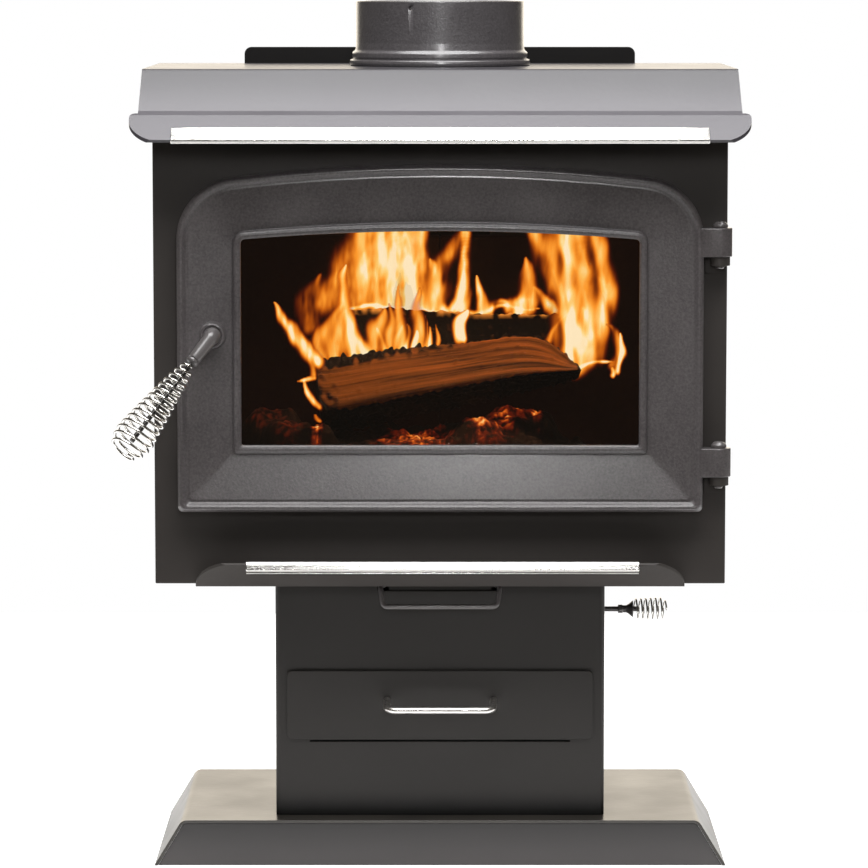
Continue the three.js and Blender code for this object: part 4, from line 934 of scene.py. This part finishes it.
def flameSheet(name, chosen):
    # a pillow of flame: where the heat passes the threshold the sheet swells with it, front
    # and back, and the two skins meet along the edge
    step = flameSettings["step"]
    columns, rows = int(windowSpan[0] * 1.02 / step), int(windowSpan[1] * 1.13 / step)
    u, v = np.meshgrid(np.arange(columns + 1) * step - 0.01 * windowSpan[0], np.arange(rows + 1) * step,
                       indexing="ij")
    flat = np.stack([u.ravel(), v.ravel()], 1)
    heat = flameHeat(flat, chosen["tongues"], chosen["seed"], chosen["strength"])
    cells = (heat.reshape(u.shape) > flameSettings["threshold"])
    kept = cells[:-1, :-1] & cells[1:, :-1] & cells[1:, 1:] & cells[:-1, 1:]
    swell = flameSettings["thickness"] * np.sqrt(np.clip(heat - flameSettings["threshold"], 0, 1.2)) + 0.15
    wander = 5 * waves(np.stack([flat[:, 0], 0.5 * flat[:, 1], 0 * flat[:, 0]], 1), 60, chosen["seed"] + 9)
    percent = flat / windowSpan * 100
    front = throughWindow(percent[:, 0], percent[:, 1], chosen["depth"] + wander - swell)
    back = throughWindow(percent[:, 0], percent[:, 1], chosen["depth"] + wander + swell)
    index = np.arange(len(flat)).reshape(u.shape)
    a, b, c, d = [part[kept] for part in (index[:-1, :-1], index[1:, :-1], index[1:, 1:], index[:-1, 1:])]
    offset = len(flat)
    faces = [np.stack([a, b, c, d], 1), np.stack([d, c, b, a], 1) + offset]
    padded = np.pad(kept, 1)
    for (right, up), first, second in (((0, -1), (0, 0), (1, 0)), ((1, 0), (1, 0), (1, 1)),
                                       ((0, 1), (1, 1), (0, 1)), ((-1, 0), (0, 1), (0, 0))):
        beside = padded[1 + right:kept.shape[0] + 1 + right, 1 + up:kept.shape[1] + 1 + up]
        i, j = np.nonzero(kept & ~beside)
        p, q = index[i + first[0], j + first[1]], index[i + second[0], j + second[1]]
        faces.append(np.stack([q, p, p + offset, q + offset], 1))
    faces = np.concatenate(faces)
    used, compact = np.unique(faces, return_inverse=True)
    points = np.concatenate([front, back])[used]
    return makePiece(name, points, compact.reshape(-1, 4), flameMaterial, "stove",
                     attributes={"warmth": np.concatenate([heat, heat])[used]})


# Burning wood gas: soot glows deep orange at the thin edges and nearly white in the core.
flameMaterial, flameTree, flameShader = newMaterial("burningGas", Roughness=1.0, Base_Color=(0, 0, 0, 1),
                                                    Specular_IOR_Level=0.0)
flameWarmth = addNode(flameTree, "ShaderNodeAttribute", attribute_name="warmth").outputs["Fac"]
flameStreaks = noise(flameTree, stretched(flameTree, objectPlace(flameTree), (1, 1, 0.22)), 15, 2.0,
                     Distortion=0.8)
flameSplit = remap(flameTree, flameStreaks, 0.3, 0.7, 0.7, 1.2)
flameFelt = addNode(flameTree, "ShaderNodeMath", links={0: flameWarmth, 1: flameSplit},
                    operation="MULTIPLY").outputs[0]
flameTone = toneRamp(flameTree, flameFelt, (0.0, "#3c0a01"), (0.16, "#983404"), (0.36, "#dd7712"),
                     (0.56, "#ffab38"), (0.76, "#ffd676"), (0.9, "#fff2b0"), (1.0, "#ffffe8"))
flameTree.links.new(flameTone, flameShader.inputs["Emission Color"])
flameShader.inputs["Emission Strength"].default_value = 1.25
flameVeil = remap(flameTree, flameFelt, 0.03, 0.6, 0.0, 0.82, interpolation_type="SMOOTHSTEP")
flameTree.links.new(flameVeil, flameShader.inputs["Alpha"])
for name in ("behind", "between", "before"):
    flameSheet("flames." + name, flameSettings[name])
print("flames ready")


def logLoop(count):
    # a rounded unit square as shares of a log's four corners, from its lit face's top edge
    loop = roundedLoop([(0, 1, 0.05), (0, 0, 0.05), (1, 0, 0.35), (1, 1, 0.2)], 9)
    loop = np.concatenate([loop, loop[:1]])
    run = np.concatenate([[0], np.cumsum(np.linalg.norm(np.diff(loop, axis=0), axis=1))])
    at = np.linspace(0, run[-1], count, endpoint=False)
    return np.stack([np.interp(at, run, loop[:, 0]), np.interp(at, run, loop[:, 1])], 1)


def splitLog(name, chosen, material):
    # four long edges, each a curve seen through the window, joined by a rounded square
    # section; ridges run along the grain and the charred parts break up in small blocks;
    # painted shade darkens the face toward its lower left end along with the char
    stations, around = chosen["stations"], chosen["around"]
    share = np.linspace(0, 1, stations)
    edges = []
    for key in ("top", "low", "under", "back"):
        knots = np.array(chosen[key]["edge"])
        across = np.interp(share, np.linspace(0, 1, len(knots)), knots[:, 0])
        smooth = np.polynomial.polynomial.Polynomial.fit(np.linspace(0, 1, len(knots)), knots[:, 1],
                                                         min(6, len(knots) - 1))
        edges.append(throughWindow(across, smooth(share), chosen[key]["depth"]))
    top, low, under, back = [edge[:, None] for edge in edges]
    loop = logLoop(around)
    a, b = loop[None, :, 0, None], loop[None, :, 1, None]
    points = (1 - a) * (b * top + (1 - b) * low) + a * (b * back + (1 - b) * under)
    length = np.linalg.norm(np.diff(points.mean(1), axis=0), axis=1).sum()
    middle = points.mean(1, keepdims=True)
    outward = points - middle
    outward /= np.linalg.norm(outward, axis=2)[..., None]
    face = np.clip(1 - a[..., 0] * 6, 0, 1) * np.ones((stations, 1))
    grain = np.stack(np.broadcast_arrays(share[:, None] * length * 0.06, loop[None, :, 0] * 60,
                                         loop[None, :, 1] * 60), -1)
    ridges = waves(grain.reshape(-1, 3), 5.0, chosen["seed"]).reshape(stations, around)
    blocks = waves(points.reshape(-1, 3), 9.0, chosen["seed"] + 1).reshape(stations, around)
    upper = np.clip((b[..., 0] - 0.72) / 0.2, 0, 1)
    upper = upper * np.clip(1.15 - share[:, None] * chosen["charLength"], 0, 1)
    # painted shade: the face darkens toward its lower left end; this joins the char mask
    lowLeftShade = np.clip(1 - share[:, None] * 7 - b[..., 0] * 0.7, 0, 1) * 0.75
    charAndShade = np.maximum(1 - face, np.maximum(upper, lowLeftShade)) + 0.12 * blocks + chosen["charred"]
    charAndShade = np.clip(charAndShade, 0, 1)
    lift = chosen["ridge"] * ridges * (0.35 + 0.65 * charAndShade) + chosen["block"] * np.abs(blocks) * charAndShade
    points = points + outward * lift[..., None]
    shrink = np.array([0.0, 0.5, 0.86, 0.97])
    ends = []
    for end, direction in ((points[:1], -1), (points[-1:], 1)):
        centre = end.mean(1, keepdims=True)
        rings = centre + (end - centre) * shrink[:, None, None]
        rings = rings + np.array([direction, 0, 0]) * (1 - shrink[:, None, None]) * 3
        ends.append(rings if direction < 0 else rings[::-1])
    grid = np.concatenate([ends[0], points, ends[1]])
    rowCharAndShade = np.concatenate([np.ones((4, around)), charAndShade, np.ones((4, around))])
    glowLine = np.exp(-((b[..., 0] - 1) ** 2 / 0.012 + (a[..., 0] - 0.1) ** 2 / 0.3))
    glowLine = glowLine * np.ones((stations, 1)) * chosen["glow"]
    glowLine = np.clip(glowLine * (0.7 + 0.5 * blocks), 0, 1)
    rowGlow = np.concatenate([np.zeros((4, around)), glowLine, np.zeros((4, around))])
    along = np.concatenate([[0] * 4, share * length, [length] * 4])[:, None] * 0.001
    uv = np.stack(np.broadcast_arrays(along, (loop[:, 1] + 2 * loop[:, 0])[None] * 0.05), -1)
    return makePiece(name, grid.reshape(-1, 3), gridFaces(len(grid), around), material, "stove",
                     smoothAngle=70.0, uv=uv.reshape(-1, 2), attributes={"charAndShade": rowCharAndShade, "glow": rowGlow})


# Split firewood burning: torn long grain in warm brown, charcoal where the fire has eaten it,
# and painted shade darkening each log's face toward its lower left end.
woodMaterial, woodTree, woodShader = newMaterial("burningSplitWood", Roughness=0.8, Specular_IOR_Level=0.25)
grainPlace = addNode(woodTree, "ShaderNodeUVMap", uv_map="grain").outputs[0]
fineLines, wideLines = [addNode(woodTree, "ShaderNodeTexNoise", {"Scale": 1.0, **sockets},
                                {"Vector": stretched(woodTree, grainPlace, scale)}).outputs[0]
                        for scale, sockets in (((11, 420, 1), {"Detail": 5.0, "Roughness": 0.65}),
                                               ((5, 110, 1), {"Detail": 3.0, "Distortion": 0.4}))]
grainMix = weighted(woodTree, fineLines, 0.5, wideLines)
woodTone = toneRamp(woodTree, grainMix, (0.56, "#140701"), (0.94, "#955c22"))
charAndShadeAttribute = addNode(woodTree, "ShaderNodeAttribute", attribute_name="charAndShade")
charAndShadeFelt = remap(woodTree, weighted(woodTree, fineLines, 0.9, charAndShadeAttribute.outputs["Fac"]), 0.72, 1.05)
woodColour = addNode(woodTree, "ShaderNodeMix", {7: linear("#070403")}, {0: charAndShadeFelt, 6: woodTone},
                     data_type="RGBA")
woodTree.links.new(woodColour.outputs[2], woodShader.inputs["Base Color"])
relief(woodTree, woodShader, grainMix, 0.9, 1.2)
glowNode = addNode(woodTree, "ShaderNodeAttribute", attribute_name="glow")
glowTone = toneRamp(woodTree, glowNode.outputs["Fac"], (0.15, "#200400"), (1.0, "#ffa646"))
woodTree.links.new(glowTone, woodShader.inputs["Emission Color"])
woodTree.links.new(glowNode.outputs["Fac"], woodShader.inputs["Emission Strength"])

frontLogSettings = {
    "stations": 240, "around": 96, "seed": 21, "ridge": 0.45, "block": 2.2, "charLength": 1.9,
    "charred": 0.0, "glow": 0.0,
    "top": {"depth": 122.0, "edge": [
        (18.9, 39.5), (23.5, 40.0), (30.2, 42.0), (36.9, 44.0), (43.5, 46.0), (50.0, 46.6), (56.6, 47.4),
        (62.3, 49.0), (67.6, 50.6), (71.8, 51.0), (75.4, 49.4), (79.0, 45.6), (82.0, 41.6), (84.6, 37.4)]},
    "low": {"depth": 88.0, "edge": [
        (19.7, 17.0), (26.5, 18.6), (33.5, 21.0), (40.6, 23.6), (48.7, 26.1), (56.7, 29.2), (64.8, 32.0),
        (71.6, 33.6), (78.3, 34.8), (84.8, 35.4)]},
    "under": {"depth": 120.0, "edge": [
        (20.5, 4.0), (33.5, 6.0), (48.7, 13.0), (64.8, 20.0), (78.3, 26.0), (84.8, 31.0)]},
    "back": {"depth": 150.0, "edge": [
        (19.5, 36.0), (36.9, 40.0), (56.6, 43.0), (71.8, 45.0), (84.6, 36.0)]},
}
backLogSettings = {
    "stations": 160, "around": 72, "seed": 33, "ridge": 0.6, "block": 1.1, "charLength": 0.0,
    "charred": 0.74, "glow": 1.0,
    "top": {"depth": 184.0, "edge": [
        (27.0, 62.6), (37.9, 63.4), (50.0, 62.4), (58.1, 61.4), (64.8, 61.0), (75.6, 61.0), (82.6, 59.6)]},
    "low": {"depth": 172.0, "edge": [(27.0, 40.0), (42.0, 42.0), (58.1, 41.0), (70.0, 42.0), (82.6, 42.0)]},
    "under": {"depth": 190.0, "edge": [(27.0, 34.0), (58.1, 34.0), (82.6, 36.0)]},
    "back": {"depth": 208.0, "edge": [(27.0, 58.0), (58.1, 57.0), (82.6, 56.0)]},
}
splitLog("frontLog", frontLogSettings, woodMaterial)
splitLog("backLog", backLogSettings, woodMaterial)

emberSettings = {
    "low": (-222.0, 40.0), "high": (222.0, 220.0), "step": 2.0, "foot": 312.3, "seed": 44,
    "middle": (5, 140), "half": (205, 85), "rise": 88,
    # glowing places: percent of the window, depth in mm, half width in mm and heat
    "hot": [
        (60.0, 12.5, 104, 9, 1.15), (66.0, 13.5, 128, 11, 0.5), (70.5, 16.0, 150, 12, 0.42),
        (74.0, 14.5, 140, 5, 0.6), (64.0, 5.0, 96, 10, 0.42), (44.5, 2.5, 90, 24, 0.62),
        (36.0, 1.5, 84, 12, 0.3), (12.0, 10.0, 110, 14, 0.2), (7.0, 16.0, 150, 20, 0.13),
        (18.9, 9.5, 86, 4, 0.85)],
}
e = emberSettings
gridX = np.arange(e["low"][0], e["high"][0] + 0.1, e["step"])
gridY = np.arange(e["low"][1], e["high"][1] + 0.1, e["step"])
ex, ey = np.meshgrid(gridX, gridY, indexing="ij")
flatBed = np.stack([ex.ravel(), ey.ravel(), np.zeros(ex.size)], 1)
mound = np.exp(-(((flatBed[:, :2] - e["middle"]) / e["half"]) ** 4).sum(1))
lumps = 0
for step, (scale, rise) in enumerate(((46, 3.2), (21, 2.2), (9, 0.9))):
    lumps = lumps + waves(flatBed, scale, e["seed"] + step) * rise
height = e["foot"] + 3 + mound * e["rise"] + lumps * (0.2 + mound)
heat = np.zeros(len(flatBed))
for across, up, depth, wide, hot in e["hot"]:
    spot = throughWindow(across, up, float(depth))
    gap = np.hypot(flatBed[:, 0] - spot[0], flatBed[:, 1] - spot[1])
    near = np.exp(-((flatBed[:, 0] - spot[0]) / wide) ** 2 - ((flatBed[:, 1] - spot[1]) / (wide + 10)) ** 2)
    hill = np.exp(-(gap / (wide + 16)) ** 4)
    height = height + (np.maximum(spot[2] + lumps * 0.6, height) - height) * hill
    heat = np.maximum(heat, hot * near)
crust = waves(flatBed, 6, e["seed"] + 5)
height = height + crust * 0.5 * np.clip(mound + heat, 0, 1)
heat = np.clip(heat * (0.85 + 0.5 * crust), 0, 1)
top = np.stack([flatBed[:, 0], flatBed[:, 1], height], 1).reshape(len(gridX), len(gridY), 3)
floorLine = top.copy()
floorLine[..., 2] = e["foot"]
topIndex = np.arange(ex.size).reshape(ex.shape)
cellFaces = np.stack([topIndex[:-1, :-1], topIndex[1:, :-1], topIndex[1:, 1:], topIndex[:-1, 1:]],
                     -1).reshape(-1, 4)
rim = np.concatenate([topIndex[:-1, 0], topIndex[-1, :-1], topIndex[:0:-1, -1], topIndex[0, :0:-1]])
skirt = np.stack([rim, np.roll(rim, -1), np.roll(rim, -1) + ex.size, rim + ex.size], 1)
bedFaces = np.concatenate([cellFaces, cellFaces[:, ::-1] + ex.size, skirt[:, ::-1]])

# Ember bed: crusted grey-black ash and charcoal lumps that glow orange where air reaches them.
emberMaterial, emberTree, emberShader = newMaterial("emberBed", Roughness=0.95, Specular_IOR_Level=0.2)
emberNoise = noise(emberTree, objectPlace(emberTree), 11, 5.0, Roughness=0.6)
emberTree.links.new(toneRamp(emberTree, emberNoise, (0.0, "#060403"), (1.0, "#2c211b")),
                    emberShader.inputs["Base Color"])
emberHeat = addNode(emberTree, "ShaderNodeAttribute", attribute_name="glow")
emberBreak = remap(emberTree, emberNoise, 0.36, 0.64, 0.1, 1.25)
emberFelt = addNode(emberTree, "ShaderNodeMath", links={0: emberHeat.outputs["Fac"], 1: emberBreak},
                    operation="MULTIPLY").outputs[0]
emberGlow = toneRamp(emberTree, emberFelt, (0.03, "#000000"), (0.25, "#6a1c05"), (0.55, "#d86a1c"),
                     (0.8, "#ffab4e"), (1.0, "#ffe0a0"))
emberTree.links.new(emberGlow, emberShader.inputs["Emission Color"])
emberShader.inputs["Emission Strength"].default_value = 1.1
relief(emberTree, emberShader, emberNoise, 0.8, 2.0)
makePiece("emberBed", np.concatenate([top.reshape(-1, 3), floorLine.reshape(-1, 3)]), bedFaces,
          emberMaterial, "stove", smoothAngle=60.0, attributes={"glow": np.concatenate([heat, heat])})
print("logs and embers ready")


# ---- the floor under the stove

floorMaterial, floorTree, floorShader = newMaterial("paleStudioFloor", Roughness=0.75)
floorTone = toneRamp(floorTree, noise(floorTree, objectPlace(floorTree), 40, 3.0), (0.0, "#fafafa"),
                     (1.0, "#ffffff"))
floorTree.links.new(floorTone, floorShader.inputs["Base Color"])
floorTree.links.new(floorTone, floorShader.inputs["Emission Color"])
floorShader.inputs["Emission Strength"].default_value = 0.55
floorSettings = {"halfWidth": 1.7, "front": -0.45, "back": 1.5}
f = floorSettings
floorMesh = bpy.data.meshes.new("studioFloor")
floorCorners = [(side * f["halfWidth"], f[end], 0)
                for side, end in ((-1, "front"), (1, "front"), (1, "back"), (-1, "back"))]
floorMesh.from_pydata(floorCorners, [], [(0, 1, 2, 3)])
floorMesh.materials.append(floorMaterial)
floor = bpy.data.objects.new("studioFloor", floorMesh)
bpy.context.scene.collection.objects.link(floor)

print("all pieces ready")
